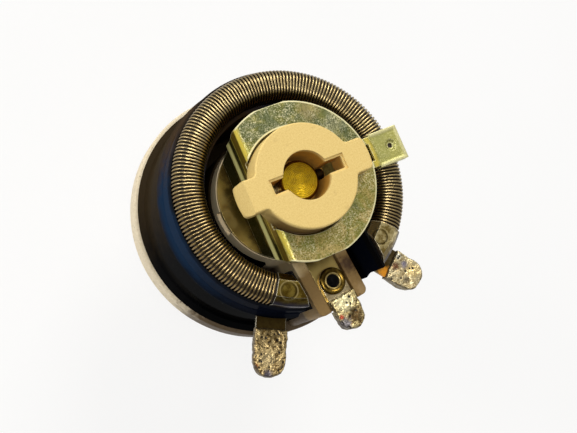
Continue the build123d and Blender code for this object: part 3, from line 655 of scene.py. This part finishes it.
def edge_marks(radius, height, spot):
    """Masks of the painted highlights on the plate's rim, the lip of its hole and the tab's border.
    """
    rim = times(within(radius, RIM_RADIUS - 0.3, RIM_RADIUS, 0.08),
                fade(height, PLATE_FACE - 0.5, PLATE_FACE - 0.2))
    lip = times(within(radius, HOLE_RADIUS, HOLE_RADIUS + 0.3, 0.1),
                fade(height, PLATE_FACE - 0.4, PLATE_FACE - 0.2), fade(spot[1], 0.0, 1.5))
    past_end = minus(spot[0], TAB_END)
    past_side = minus(maths("ABSOLUTE", spot[1]), TAB_HALF_WIDTH)
    border = times(fade(most(past_end, past_side), -0.75, -0.25), fade(radius, 12.8, 13.3))
    return rim, lip, border


def chromate_finish():
    """The film on the plate, with painted highlights on its edges and bends and a painted dark
    reflection on its walls.
    """
    made, shader = finish("Yellow chromated zinc")
    radius, height, spot = axis_distance(turn=ARM_TURN)
    where = millimetres()
    soft = use("Soft edges", Width=0.2)
    fine = clouds(where, 0.2, 4.0, 0.82)
    colour = film_colour(where, spot, fine)
    # Painted dark reflection on the plate's turned-down walls.
    upright = times(fade(height, 24.3, 23.8), fade(radius, 12.9, 12.0))
    colour = lay_over(colour, (84, 78, 24), upright, 0.85)
    bend, band, bead = fold_marks(height, spot)
    # Painted dark reflection in the band under the fold.
    colour = lay_over(colour, (136, 108, 26), band, 0.75)
    tab = fade(radius, 12.4, 13.2)
    colour = lay_over(colour, (208, 206, 116), tab, 0.6)
    # Painted highlights: yellow on the bends and the tab's neck, pale on the wall's bead.
    lanced = within(radius, 11.9, 12.7, 0.3)
    painted_bend_highlight = most(bend, bead, times(lanced, 0.8))
    colour = lay_over(colour, (230, 208, 76), painted_bend_highlight, 0.9)
    colour = lay_over(colour, (226, 230, 176), bead, 0.6)
    # Painted highlights on the edges, the rim, the hole's lip and the tab's border.
    rim, lip, border = edge_marks(radius, height, spot)
    crest = most(soft["Edge"], rim, times(border, 0.6), lip)
    colour = lay_over(colour, (252, 246, 196), crest, 0.9)
    # Less metallic where light is painted, and on the tab, so that the painted colour shows.
    low_metallic = most(crest, painted_bend_highlight, times(tab, 0.5), times(band, 0.6))
    lines = use("Hairlines", Turn=1.2, Density=0.5)["Mask"]
    grain = slope(lines, -0.5, fine)
    grain = slope(border, 3.0, grain)
    surface(shader, grain, 0.02, soft["Normal"], Base_Color=colour,
            Roughness=slope(fine, 0.3, 0.2),
            Metallic=slope(low_metallic, -0.8, 0.9))
    return made


plate_chromate = chromate_finish()

# %% [markdown]
# The shaft's end was faced on a lathe.  Its marks are fine rings round the axis, broken by
# dull patches, and the brass is bright yellow with a darker rim.  The shaft's side is the
# paler brass of drawn rod.

# %% Turned brass
def turned_brass_finish():
    """Ringed yellow brass on the faced end and paler drawn brass down the side."""
    made, shader = finish("Turned shaft brass", Metallic=1.0)
    radius, height, _ = axis_distance()
    where = millimetres()
    soft = use("Soft edges", Width=0.15)
    worn = slope(clouds(where, 0.8), 0.35, radius)
    rings = maths("SINE", times(worn, 26.0))
    blotch = clouds(where, 0.9, 5.0, 0.7)
    colour = mix(fade(blotch, 0.36, 0.6), (148, 114, 12), (200, 162, 18))
    colour = lay_over(colour, (240, 206, 76), fade(rings, 0.0, 0.9), 0.5)
    colour = mix(fade(radius, 2.45, 2.85), colour, (110, 76, 20))
    drawn = mix(fade(blotch, 0.4, 0.6), (178, 148, 82), (214, 184, 112))
    colour = mix(fade(height, SHAFT_TOP - 0.4, SHAFT_TOP - 0.7), colour, drawn)
    polish = fade(blotch, 0.3, 0.7, 0.42, 0.24)
    marks = slope(rings, 0.5, clouds(where, 0.3, 4.0, 0.7))
    surface(shader, marks, 0.014, soft["Normal"], Base_Color=colour, Roughness=polish)
    return made


SHAFT_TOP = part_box("shaft")[1].z / MM
shaft_brass = turned_brass_finish()

# %% [markdown]
# The resistance wire is bare alloy.  Its crown is rubbed brighter by the brush, and its sides
# keep the brown oxide that firing left.  Painted shade darkens it between the turns, down in
# the ring's hole and on the side away from the shoulder lamp.

# %% Resistance wire
def wire_finish():
    """Bare wire, rubbed on the crown, with painted shade between the turns, down in the ring's hole
    and away from the lamp.
    """
    made, shader = finish("Bare resistance wire", Metallic=1.0)
    radius, height, spot = axis_distance()
    where = millimetres()
    patches = use("Patchy tarnish", Patch_Size=1.4, Cover=0.4, Offset=3.0)["Mask"]
    brightened = times(fade(height, 21.3, 22.4), fade(radius, 13.4, 14.4))
    colour = mix(brightened, (152, 131, 84), (214, 193, 142))
    # Painted shade on the side of the ring away from the shoulder lamp.
    away = within(toward(radius, spot, 0.5, 0.87, 0.4), -2.0, -0.1, 0.5)
    colour = shade(colour, (228, 222, 212), away)
    colour = lay_over(colour, (124, 94, 50), patches, 0.35)
    # Painted shade between the turns, where a wire faces its neighbour.
    normal = put("SeparateXYZ", {0: put("NewGeometry").outputs["Normal"]}).outputs
    outward = maths("DIVIDE", leaning(normal, spot[0], spot[1]), radius)
    crest = most(maths("ABSOLUTE", outward), maths("ABSOLUTE", normal[2]))
    colour = mix(fade(crest, 0.9, 0.45, 0.0, 0.85), colour, (44, 34, 18))
    # Painted shade down in the ring's hole.
    deep = times(fade(radius, 14.2, 13.1), fade(height, 22.2, 20.0))
    colour = lay_over(colour, (46, 32, 18), deep, 0.8)
    surface(shader, clouds(where, 0.3), 0.003, Base_Color=colour,
            Roughness=fade(patches, 0.0, 1.0, 0.28, 0.4))
    return made


resistance_wire = wire_finish()

# %% [markdown]
# Solder that was melted on by hand freezes in lumps.  It is bright where it flowed, blue grey
# where it crusted, and pitted with brown flux that boiled in it.  The flux is not metal, so
# the mask that colours the pits also takes the metallic value down.  A pale patch on each bead
# is a painted highlight, and its steeper sides carry painted shade.

# %% Solder
def solder_finish(name, bright, dull, offset, speckle, spots):
    """Solder with its own places of colour, each a centre, a reach, a colour and a strength."""
    made, shader = finish(name)
    where = put("VectorMath", {0: millimetres(), 1: (offset, 0, 0)}, operation="ADD").outputs[0]
    broad = clouds(where, 0.9, 3.0, 0.6, 1.5)
    fine = clouds(where, 0.42, 3.0, 0.6, 1.0)
    colour = mix(fade(broad, 0.44, 0.56), dull, bright)
    colour = mix(fade(fine, 0.51, 0.57, 0.0, speckle), colour, bright)
    colour = mix(fade(fine, 0.46, 0.39, 0.0, speckle), colour, (70, 54, 24))
    for centre, reach, tone, strength in spots:
        colour = lay_over(colour, tone, near_spot(centre, reach), strength)
    pit = put("Attribute", attribute_name="pit").outputs["Fac"]
    flux = fade(slope(fine, 0.5, pit), 0.6, 0.95)
    colour = mix(flux, colour, (40, 30, 14))
    level = put("SeparateXYZ", {0: put("NewGeometry").outputs["Normal"]}).outputs[2]
    # Painted shade on the bead's steeper sides.
    side = fade(level, 0.94, 0.55)
    colour = lay_over(colour, (84, 76, 66), side, 0.8)
    metallic = slope(flux, -0.6, 0.75)
    surface(shader, fine, 0.09, Base_Color=colour, Metallic=metallic,
            Roughness=fade(broad, 0.35, 0.65, 0.42, 0.26))
    return made


pitted_solder = solder_finish(
    "Pitted solder", (226, 200, 142), (126, 100, 54), offset=0.0, speckle=0.9, spots=(
        ((-11.6, -17.0, 15.4), 2.0, (112, 90, 44), 0.6),
        # Painted highlight: a pale patch where the bead catches the light.
        ((-14.0, -20.2, 15.4), 1.8, (240, 222, 174), 0.3),
        ((-13.5, -19.7, 15.4), 0.5, (120, 110, 84), 0.7),
        ((-15.9, -20.3, 15.2), 0.7, (150, 84, 30), 0.8),
        ((-14.9, -22.2, 15.0), 1.1, (100, 98, 118), 0.85)))
blushed_solder = solder_finish(
    "Blushed solder", (255, 238, 190), (204, 182, 132), offset=11.0, speckle=0.4, spots=(
        # Painted highlight: a pale patch where the bead catches the light.
        ((12.6, -16.7, 15.2), 0.8, (255, 250, 226), 0.9),
        ((12.9, -18.4, 15.2), 1.0, (128, 126, 156), 0.85),
        ((13.6, -19.8, 15.2), 1.6, (240, 214, 150), 0.85),
        ((11.4, -17.9, 15.2), 1.0, (104, 56, 34), 0.9),
        ((11.9, -20.6, 15.2), 0.7, (58, 42, 30), 0.85)))
crusted_solder = solder_finish(
    "Crusted solder", (255, 236, 172), (156, 128, 74), offset=23.0, speckle=0.75, spots=(
        # Painted highlight: a pale patch where the bead catches the light.
        ((-0.2, -18.5, 17.9), 2.0, (255, 246, 196), 0.95),
        ((0.5, -21.0, 17.8), 1.8, (84, 60, 26), 0.9),
        ((-1.6, -21.4, 17.6), 1.4, (140, 138, 150), 0.9),
        ((-1.7, -20.2, 17.8), 0.5, (214, 96, 70), 1.0)))

# %% [markdown]
# The brush is copper and graphite pressed together.  It is nearly black with a copper glint,
# and its grain is the ceramics' grain made finer.

# %% Copper graphite
def brush_finish():
    """Dark pressed powder with a little metal in it."""
    made, shader = finish("Copper graphite", Metallic=0.4)
    grain = use("Ceramic grain", Grain_Size=0.15, Pores=0.5)
    tone = grain["Tone"]
    colour = mix(fade(tone, 0.35, 0.65), (30, 26, 24), (66, 52, 42))
    surface(shader, grain["Height"], 0.01, Base_Color=colour,
            Roughness=fade(tone, 0.3, 0.7, 0.4, 0.6))
    return made


brush_graphite = brush_finish()

# %% [markdown]
# ## Dress the solids
# The solids whose shape is already right keep their mesh and only get a finish.  Their slots
# are cleared first, so nothing of the plain colours is left.

# %% Give the solids their finishes
DRESSED = {
    "base": base_ceramic,
    "core": core_ceramic,
    "enamel": vitreous_enamel,
    "left_terminal": end_strip_metal,
    "right_terminal": end_strip_metal,
    "centre_terminal": lug_metal,
    "collector_ring": collector_metal,
    "bushing_washer": washer_steel,
    "shaft": shaft_brass,
    "thrust_washer": washer_steel,
    "retaining_ring": clip_steel,
    "hub_washer": oiled_steel,
    "hub": hub_ceramic,
    "cross_pin": pin_steel,
    "contact_plate": plate_chromate,
    "contact_brush": brush_graphite,
}
for name, material in DRESSED.items():
    nodes[name].data.materials.clear()
    nodes[name].data.materials.append(material)
print("dressed solids:", len(DRESSED))

# %% [markdown]
# ## From a mesh in the making to a piece
# Blender builds a mesh by hand in a bmesh, which is a work table: points and faces are added
# there, and the result is copied into mesh data that an object shows.  Every object here stays
# at the origin, and its place is in its mesh, as with the solids.

# %% Put a finished mesh in the scene
def placed(name, mesh, material=None):
    """An object at the origin that shows a bmesh, which is used up."""
    data = bpy.data.meshes.new(name)
    mesh.to_mesh(data)
    mesh.free()
    if material:
        data.materials.append(material)
    piece = bpy.data.objects.new(name, data)
    bpy.context.scene.collection.objects.link(piece)
    return piece


def closed_shell(name, loops, material, smooth):
    """Faces between loops of places in millimetres, the last loop joined to the first."""
    mesh = bmesh.new()
    rings = [[mesh.verts.new([side * MM for side in place]) for place in loop] for loop in loops]
    for here, there in zip(rings, rings[1:] + rings[:1]):
        for a in range(len(here)):
            b = (a + 1) % len(here)
            mesh.faces.new((here[a], there[a], there[b], here[b])).smooth = smooth
    bmesh.ops.recalc_face_normals(mesh, faces=mesh.faces)
    return placed(name, mesh, material)


# %% [markdown]
# ## Geometry Nodes from a script
# A piece that repeats is best grown by a rule.  Each rule below is a Geometry Nodes tree with
# named inputs for its sizes.  These helpers make the tree's sockets, add geometry nodes, and
# run the tree once on an empty object, whose result becomes a plain mesh.  The sums in a rule
# are made by the same helpers as those in a material.

# %% Helpers for Geometry Nodes
def growth_rule(name, sizes):
    """A Geometry Nodes tree with a named input per size; returns it with its end nodes."""
    rule = bpy.data.node_groups.new(name, "GeometryNodeTree")
    Bench.tree = rule
    rule.interface.new_socket("Geometry", in_out="INPUT", socket_type="NodeSocketGeometry")
    for label, value in sizes.items():
        kind = "NodeSocketInt" if isinstance(value, int) else "NodeSocketFloat"
        rule.interface.new_socket(label, in_out="INPUT", socket_type=kind).default_value = value
    rule.interface.new_socket("Finish", in_out="INPUT", socket_type="NodeSocketMaterial")
    rule.interface.new_socket("Geometry", in_out="OUTPUT", socket_type="NodeSocketGeometry")
    print("rule:", name, "with", len(sizes), "sizes")
    return rule, rule.nodes.new("NodeGroupInput"), rule.nodes.new("NodeGroupOutput")


def grown(kind, feeds=None, **settings):
    """Adds a geometry node and returns its first output."""
    return put(kind, feeds, "GeometryNode", **settings).outputs[0]


def close_rule(entry, leave, geometry):
    """Ends a rule with smooth shading, Realize Instances and Set Material."""
    smooth = grown("SetShadeSmooth", {"Geometry": geometry})
    real = grown("RealizeInstances", {"Geometry": smooth})
    painted = grown("SetMaterial", {"Geometry": real, "Material": entry.outputs["Finish"]})
    feed(leave.inputs["Geometry"], painted)


def grow(name, rule, material, **sizes):
    """Runs a rule and returns its result as a finished mesh object."""
    piece = bpy.data.objects.new(name, bpy.data.meshes.new(name))
    bpy.context.scene.collection.objects.link(piece)
    modifier = piece.modifiers.new("growth", "NODES")
    modifier.node_group = rule
    for socket in rule.interface.items_tree:
        label = socket.name.replace(" ", "_")
        if socket.in_out == "INPUT" and label in sizes:
            modifier[socket.identifier] = sizes[label]
        if socket.name == "Finish":
            modifier[socket.identifier] = material
    ready = piece.evaluated_get(bpy.context.evaluated_depsgraph_get())
    mesh = bpy.data.meshes.new_from_object(ready)
    piece.modifiers.remove(modifier)
    piece.data = mesh
    if not mesh.materials:
        mesh.materials.append(material)
    print(name, "faces:", len(mesh.polygons))
    return piece


# %% [markdown]
# ## The winding
# The real winding is one wire wound round and round the C-shaped core.  The rule follows
# that: the outline of one turn is a rectangle with filleted corners, and a long row of points
# steps round the outline once per turn while it creeps along the ring.  A small circle swept
# along the row makes the round wire.  Points are only spent where the wire bends, so the
# whole winding stays light.  A slow noise moves each turn a little, as hand-fed wire does.

# %% Wire winding rule
def winding_rule():
    """One long wire wound round a C-shaped core, from its start through its arc."""
    sizes = {"Inner Radius": 13.0 * MM, "Outer Radius": 17.6 * MM, "Bottom": 3.8 * MM,
             "Top": 22.6 * MM, "Corner": 1.9 * MM, "Wire": 0.36 * MM, "Turns": 155,
             "Start": 0.0, "Arc": 4.8, "Unevenness": 0.1, "Bend Steps": 6, "Wire Sides": 8}
    rule, entry, leave = growth_rule("Wire winding", sizes)
    size = entry.outputs
    width = minus(minus(size["Outer Radius"], size["Inner Radius"]), size["Wire"])
    tall = minus(minus(size["Top"], size["Bottom"]), size["Wire"])
    box = grown("CurvePrimitiveQuadrilateral", {"Width": width, "Height": tall})
    bend = minus(size["Corner"], times(size["Wire"], 0.5))
    outline = grown("FilletCurve", {"Curve": box, "Count": size["Bend Steps"], "Radius": bend},
                    mode="POLY")
    corners = grown("AttributeDomainSize", {"Geometry": outline}, component="CURVE")
    count = times(corners, size["Turns"])
    row = grown("CurvePrimitiveLine")
    row = grown("ResampleCurve", {"Curve": row, "Count": count})
    index = grown("InputIndex")
    turn = maths("FLOOR", maths("DIVIDE", plus(index, 0.5), corners))
    step = minus(index, times(turn, corners))
    step = put("FloatToInt", {0: step}, "FunctionNode", rounding_mode="ROUND").outputs[0]
    place = grown("InputPosition")
    share = grown("SplineParameter")
    corner, passed = [
        grown("SampleIndex", {"Geometry": outline, "Value": read, "Index": step}, data_type=kind)
        for read, kind in ((place, "FLOAT_VECTOR"), (share, "FLOAT"))]
    flat = put("SeparateXYZ", {0: corner}).outputs
    middle = times(plus(size["Inner Radius"], size["Outer Radius"]), 0.5)
    level = times(plus(size["Top"], size["Bottom"]), 0.5)
    radius = plus(middle, flat[0])
    height = plus(level, flat[1])
    progress = plus(turn, passed)
    wander = put("TexNoise", {"W": progress, "Scale": 0.8, "Detail": 1.0},
                 noise_dimensions="1D").outputs[0]
    wander = times(minus(wander, 0.5), size["Unevenness"])
    part = maths("DIVIDE", plus(progress, wander), size["Turns"])
    angle = slope(part, size["Arc"], size["Start"])
    across = times(radius, maths("COSINE", angle))
    along = times(radius, maths("SINE", angle))
    target = put("CombineXYZ", {0: across, 1: along, 2: height}).outputs[0]
    coil = grown("SetPosition", {"Geometry": row, "Position": target})
    section = {"Resolution": size["Wire Sides"], "Radius": times(size["Wire"], 0.5)}
    ring = grown("CurvePrimitiveCircle", section)
    wire = grown("CurveToMesh", {"Curve": coil, "Profile Curve": ring, "Fill Caps": True})
    close_rule(entry, leave, wire)
    return rule


# %% Grow the winding
WOUND_GAP = 82.4
TURNS = 155
pitch = (360 - WOUND_GAP) / (TURNS - 1)
winding = grow("wire_winding", winding_rule(), resistance_wire, Turns=TURNS,
               Start=math.radians(-90 + WOUND_GAP / 2 - pitch / 2),
               Arc=math.radians(pitch * TURNS))
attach(winding, "stator")
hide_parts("winding")

# %% [markdown]
# ## Turned pieces
# The eyelet and the bushing are bodies of revolution.  A profile in the plane of radius and
# height is turned about a vertical line, and its first and last points are joined, so the
# piece is closed.

# %% Turn a profile
def turned(name, profile, material, centre=(0, 0), steps=96):
    """A closed ring whose section is profile, a list of radius and height in millimetres."""
    loops = []
    for step in range(steps):
        turn = 2 * math.pi * step / steps
        loops.append([(centre[0] + radius * math.cos(turn), centre[1] + radius * math.sin(turn),
                       height) for radius, height in profile])
    return closed_shell(name, loops, material, True)


lip = eyelet_high.z / MM
foot = eyelet_low.z / MM
eyelet_profile = [
    (0.95, foot), (2.0, foot), (2.0, foot + 0.5), (1.3, foot + 0.5),
    (1.3, lip - 0.5), (2.0, lip - 0.5), (2.05, lip - 0.42), (2.04, lip - 0.28),
    (1.97, lip - 0.14), (1.84, lip - 0.04), (1.68, lip), (1.52, lip - 0.03), (1.4, lip - 0.1),
    (1.32, lip - 0.13), (1.25, lip - 0.1), (1.16, lip - 0.06), (1.06, lip - 0.09),
    (0.99, lip - 0.18), (0.95, lip - 0.32),
]
rolled_eyelet = turned("rolled_eyelet", eyelet_profile, eyelet_brass, EYELET_AT, 64)
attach(rolled_eyelet, "stator")
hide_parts("eyelet")
print("eyelet centre, mm:", [round(value, 2) for value in EYELET_AT], "top", round(lip, 2))

# %% [markdown]
# ## The threaded bushing
# A thread follows a rule too: on a tube unrolled into a grid, the radius at each point depends
# on its height less its share of a turn.  The grid is then rolled up.  The thread runs out at
# both ends on plain rings, and the grid's last row goes back down the bore to the first one, so
# that the tube is closed.  The head is a hexagon whose corners were turned off on the lathe.

# %% Thread rule
THREAD_ROWS = 153
FLANK = 1.15
END_SHARE = 1 / 18
BORE_RADIUS = 3.05


def thread_rule():
    """Tube with a cut thread; its grid counts columns round the tube and rows along it."""
    sizes = {"Crest Radius": 5.0 * MM, "Depth": 0.42 * MM, "Pitch": 0.75 * MM, "Low": -9.5 * MM,
             "High": 0.0, "Bore": BORE_RADIUS * MM, "Columns": 73, "Rows": THREAD_ROWS}
    rule, entry, leave = growth_rule("Cut thread", sizes)
    size = entry.outputs
    grid = grown("MeshGrid", {"Size X": 1.0, "Size Y": 1.0, "Vertices X": size["Columns"],
                              "Vertices Y": size["Rows"]})
    flat = put("SeparateXYZ", {0: grown("InputPosition")}).outputs
    share = plus(flat[0], 0.5)
    row = plus(flat[1], 0.5)
    steps = THREAD_ROWS - 1
    back = maths("GREATER_THAN", row, 1 - 0.5 / steps)
    climb = maths("MINIMUM", times(row, steps / (steps - 1)), 1.0)
    length = minus(size["High"], size["Low"])
    rise = times(climb, minus(1.0, back))
    height = slope(rise, length, size["Low"])
    phase = minus(maths("DIVIDE", height, size["Pitch"]), share)
    wave = maths("ABSOLUTE", slope(maths("FRACT", phase), 2.0, -1.0))
    wave = maths("MINIMUM", times(wave, FLANK), 1.0)
    cut = times(minus(1.0, wave), size["Depth"])
    near_end = minus(1.0, maths("DIVIDE", climb, END_SHARE))
    chamfer = times(most(near_end, 0.0), size["Depth"])
    outside = minus(minus(size["Crest Radius"], cut), chamfer)
    from_end = maths("MINIMUM", climb, minus(1.0, climb))
    at_end = maths("LESS_THAN", from_end, 0.01 * END_SHARE)
    radius = plus(times(outside, minus(1.0, at_end)), times(at_end, size["Bore"]))
    angle = times(share, 2 * math.pi)
    across = times(radius, maths("COSINE", angle))
    along = times(radius, maths("SINE", angle))
    target = put("CombineXYZ", {0: across, 1: along, 2: height}).outputs[0]
    rolled = grown("SetPosition", {"Geometry": grid, "Position": target})
    sewn = grown("MergeByDistance", {"Geometry": rolled, "Distance": 0.002 * MM})
    close_rule(entry, leave, sewn)
    return rule


# %% Grow the thread and join it to the bushing's head and sleeve
HEAD_STEPS = 96


def hex_head(name, corner, low, high, bore, material, bevel=0.25):
    """A hexagonal head with its corners turned off; its sizes are in millimetres."""
    sixth = math.pi / 3
    loops = []
    for radius, height, hexed in (
            (bore, low, False), (corner - bevel, low, True), (corner, low + bevel, True),
            (corner, high - bevel, True), (corner - bevel, high, True), (bore, high, False)):
        loop = []
        for step in range(HEAD_STEPS):
            turn = 2 * math.pi * step / HEAD_STEPS
            sector = (turn + sixth / 2) % sixth - sixth / 2
            flat = corner * math.cos(sixth / 2) / math.cos(sixth / 2 - abs(sector))
            reach = min(radius, flat) if hexed else radius
            loop.append((reach * math.cos(turn), reach * math.sin(turn), height))
        loops.append(loop)
    return closed_shell(name, loops, material, False)


def joined(name, *parts):
    """One object made of several, in place."""
    for part in bpy.context.selected_objects:
        part.select_set(False)
    for part in parts:
        part.select_set(True)
    bpy.context.view_layer.objects.active = parts[0]
    bpy.ops.object.join()
    parts[0].name = name
    parts[0].data.name = name
    return parts[0]


rim_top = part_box("bushing")[1].z / MM
thread = grow("thread", thread_rule(), bushing_brass)
sleeve_profile = [(BORE_RADIUS, -0.02), (4.4, -0.02), (4.4, rim_top - 0.55), (5.4, rim_top - 0.55),
                  (5.4, rim_top - 0.42), (5.28, rim_top - 0.14), (5.1, rim_top), (3.2, rim_top),
                  (BORE_RADIUS, rim_top - 0.12)]
sleeve = turned("sleeve", sleeve_profile, bushing_brass)
head = hex_head("head", corner=7.6, low=0.0, high=1.8, bore=3.1, material=bushing_brass)
bushing = joined("threaded_bushing", thread, sleeve, head)
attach(bushing, "stator")
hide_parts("bushing")
print("bushing faces:", len(bushing.data.polygons), "rim top, mm:", round(rim_top, 2))

# %% [markdown]
# ## Solder on the lugs
# The solid of each solder bead is a smooth pad.  A copy of it is merged, rebuilt as an even
# skin of small faces, smoothed until it is round like a drop, and pushed along its normals by
# noise, mostly inwards, so the lumps stay inside the solid.  Small pits are pressed into its
# top, and their depth is kept as an attribute that the finish reads.

# %% Lumpy solder
def lumpy(name, node, material, grain, depth, seed, pits, hollows):
    """A solder bead made from a copy of its solid, with round pits where flux boiled out."""
    mesh = bmesh.new()
    mesh.from_mesh(nodes[node].data)
    bmesh.ops.remove_doubles(mesh, verts=mesh.verts, dist=0.002 * MM)
    piece = placed(name, mesh)
    skin = piece.modifiers.new("skin", "REMESH")
    skin.mode = "VOXEL"
    skin.voxel_size = 0.1 * MM
    soften = piece.modifiers.new("soften", "SMOOTH")
    soften.factor = 0.5
    soften.iterations = 8
    ready = piece.evaluated_get(bpy.context.evaluated_depsgraph_get())
    smooth = bpy.data.meshes.new_from_object(ready)
    piece.modifiers.clear()
    piece.data = smooth
    draw = random.Random(seed)
    tops = [vertex.co / MM for vertex in smooth.vertices if vertex.normal.z > 0.5]
    craters = [(draw.choice(tops), draw.uniform(0.12, 0.26)) for _ in range(pits)]
    shift = Vector((seed * 3.1, seed * 1.7, seed * 0.9))
    pushes = []
    depths = []
    for vertex in smooth.vertices:
        spot = vertex.co / MM
        push = noise.fractal(spot / grain + shift, 1.0, 2.0, 3) * depth - depth * 0.8
        deepest = 0.0
        for centre, reach in craters:
            gap = (spot - centre).length / reach
            if gap < 3:
                well = math.exp(-gap * gap)
                push -= 0.5 * reach * well
                deepest = max(deepest, well)
        for centre, reach, deep in hollows:
            push -= deep * math.exp(-((spot - Vector(centre)).length / reach) ** 2)
        pushes.append(vertex.normal * push * MM)
        depths.append(deepest)
    for vertex, push in zip(smooth.vertices, pushes):
        vertex.co += push
    smooth.attributes.new("pit", "FLOAT", "POINT").data.foreach_set("value", depths)
    smooth.materials.clear()
    smooth.materials.append(material)
    smooth.polygons.foreach_set("use_smooth", [True] * len(smooth.polygons))
    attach(piece, "stator")
    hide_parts(node)
    print(name, "faces:", len(smooth.polygons), "pits:", pits)


lumpy("left_solder_bead", "left_solder", pitted_solder, grain=0.9, depth=0.12, seed=1, pits=46,
      hollows=[((-13.6, -19.8, 15.6), 0.6, 0.18)])
lumpy("right_solder_bead", "right_solder", blushed_solder, grain=1.5, depth=0.16, seed=2, pits=14,
      hollows=[((12.9, -18.4, 15.6), 0.9, 0.25)])
lumpy("centre_solder_bead", "centre_solder", crusted_solder, grain=1.2, depth=0.16, seed=3, pits=22,
      hollows=[((0.2, -20.6, 18.2), 0.7, 0.2)])

# %% [markdown]
# ## Floor
# The floor lies just under the shaft's lower end.  A Light Path node tells its finish what is
# looking at it: the camera and mirrors see it nearly white, while the light that it throws up
# on the rheostat is that of its own pale paint.

# %% Floor
FLOOR_REACH = 3.0
FLOOR_GAP = 0.2


def floor_finish():
    """Pale paint that shows as plain white wherever it is seen directly or in a mirror."""
    made, shader = finish("Pale floor", Roughness=0.9, Specular_IOR_Level=0.1)
    paper = fade(clouds(millimetres(), 40.0, 2.0), 0.3, 0.7)
    paper = mix(paper, (246, 246, 245), (250, 250, 250))
    surface(shader, Base_Color=paper)
    ray = put("LightPath").outputs
    direct = most(ray["Is Camera Ray"], ray["Is Glossy Ray"], ray["Is Transmission Ray"])
    white = put("Emission", {"Color": (1, 1, 1, 1), "Strength": 1.0}).outputs[0]
    blend = put("MixShader", {0: times(direct, 0.8), 1: shader.outputs[0], 2: white})
    feed(made.node_tree.nodes["Material Output"].inputs["Surface"], blend.outputs[0])
    return made


floor_level = cad_box[0].z - FLOOR_GAP * MM
floor_mesh = bmesh.new()
bmesh.ops.create_grid(floor_mesh, x_segments=2, y_segments=2, size=FLOOR_REACH,
                      matrix=Matrix.Translation((0, 0, floor_level)))
placed("floor", floor_mesh, floor_finish())
print("floor level, mm:", round(floor_level / MM, 1))

# %% [markdown]
# ## Camera
# A camera's matrix holds its right, up and back directions and its place.  This one looks
# steeply down on the plate, a little from the left, and its lens is longer than normal, so
# that near and far parts keep their proportions.

# %% Camera
EYE = Vector((-57.4, -7.8, 153.4)) * MM
LOOK_RIGHT = Vector((0.8166, -0.4791, 0.3220))
LOOK_UP = Vector((0.4333, 0.8773, 0.2064))
LOOK_BACK = LOOK_RIGHT.cross(LOOK_UP).normalized()
lens = bpy.data.cameras.new("portrait lens")
lens.lens = 62.4
lens.sensor_width = 36.0
lens.clip_start = 0.01
camera = bpy.data.objects.new("portrait camera", lens)
bpy.context.scene.collection.objects.link(camera)
up = LOOK_BACK.cross(LOOK_RIGHT).normalized()
looking = Matrix((LOOK_RIGHT, up, LOOK_BACK)).transposed().to_4x4()
camera.matrix_world = Matrix.Translation(EYE) @ looking
bpy.context.scene.camera = camera
print("camera tilt from the shaft, degrees:", round(math.degrees(math.acos(LOOK_BACK.z)), 1))

# %% [markdown]
# ## Light
# Three square soft lamps stand round the camera: the strongest over its right shoulder, one
# beside its lens and one at its left.  A dim surround is brighter above and behind the
# rheostat, so that metal has something to reflect.

# %% Lamps and surround
LAMPS = {
    "shoulder lamp": ((0.25, 0.55, 0.30), 0.28, 1.8, (1.0, 0.96, 0.88)),
    "front lamp": ((0.02, 0.02, 0.62), 0.20, 1.15, (1.0, 0.97, 0.92)),
    "side lamp": ((-0.50, 0.25, 0.30), 0.26, 1.5, (1.0, 0.97, 0.93)),
}
AIM = Vector((0, 0, 18)) * MM
SKY_GLOW = Vector((0.35, 0.6, 0.72)).normalized()


def lamp(name, offset, size, power, colour):
    """A square soft lamp aimed at the winding; offset is in metres along right, up and back."""
    light = bpy.data.lights.new(name, "AREA")
    light.shape = "SQUARE"
    light.size = size
    light.energy = power
    light.color = colour
    made = bpy.data.objects.new(name, light)
    bpy.context.scene.collection.objects.link(made)
    made.location = AIM + LOOK_RIGHT * offset[0] + up * offset[1] + LOOK_BACK * offset[2]
    made.rotation_euler = (made.location - AIM).to_track_quat("Z", "Y").to_euler()


def surround():
    """A dim world that grows brighter toward SKY_GLOW."""
    made = bpy.data.worlds.new("soft surround")
    made.use_nodes = True
    Bench.tree = made.node_tree
    direction = put("TexCoord").outputs["Generated"]
    upward = put("VectorMath", {0: direction, 1: SKY_GLOW}, operation="DOT_PRODUCT")
    upward = fade(upward.outputs["Value"], -0.6, 0.9)
    glow = mix(upward, (0.04, 0.04, 0.045, 1), (0.40, 0.39, 0.37, 1))
    background = made.node_tree.nodes["Background"].inputs
    feed(background["Strength"], 1.0)
    feed(background["Color"], glow)
    return made


for name, values in LAMPS.items():
    lamp(name, *values)
bpy.context.scene.world = surround()
bpy.context.scene.view_settings.view_transform = "Standard"
print("lamps:", ", ".join(LAMPS))
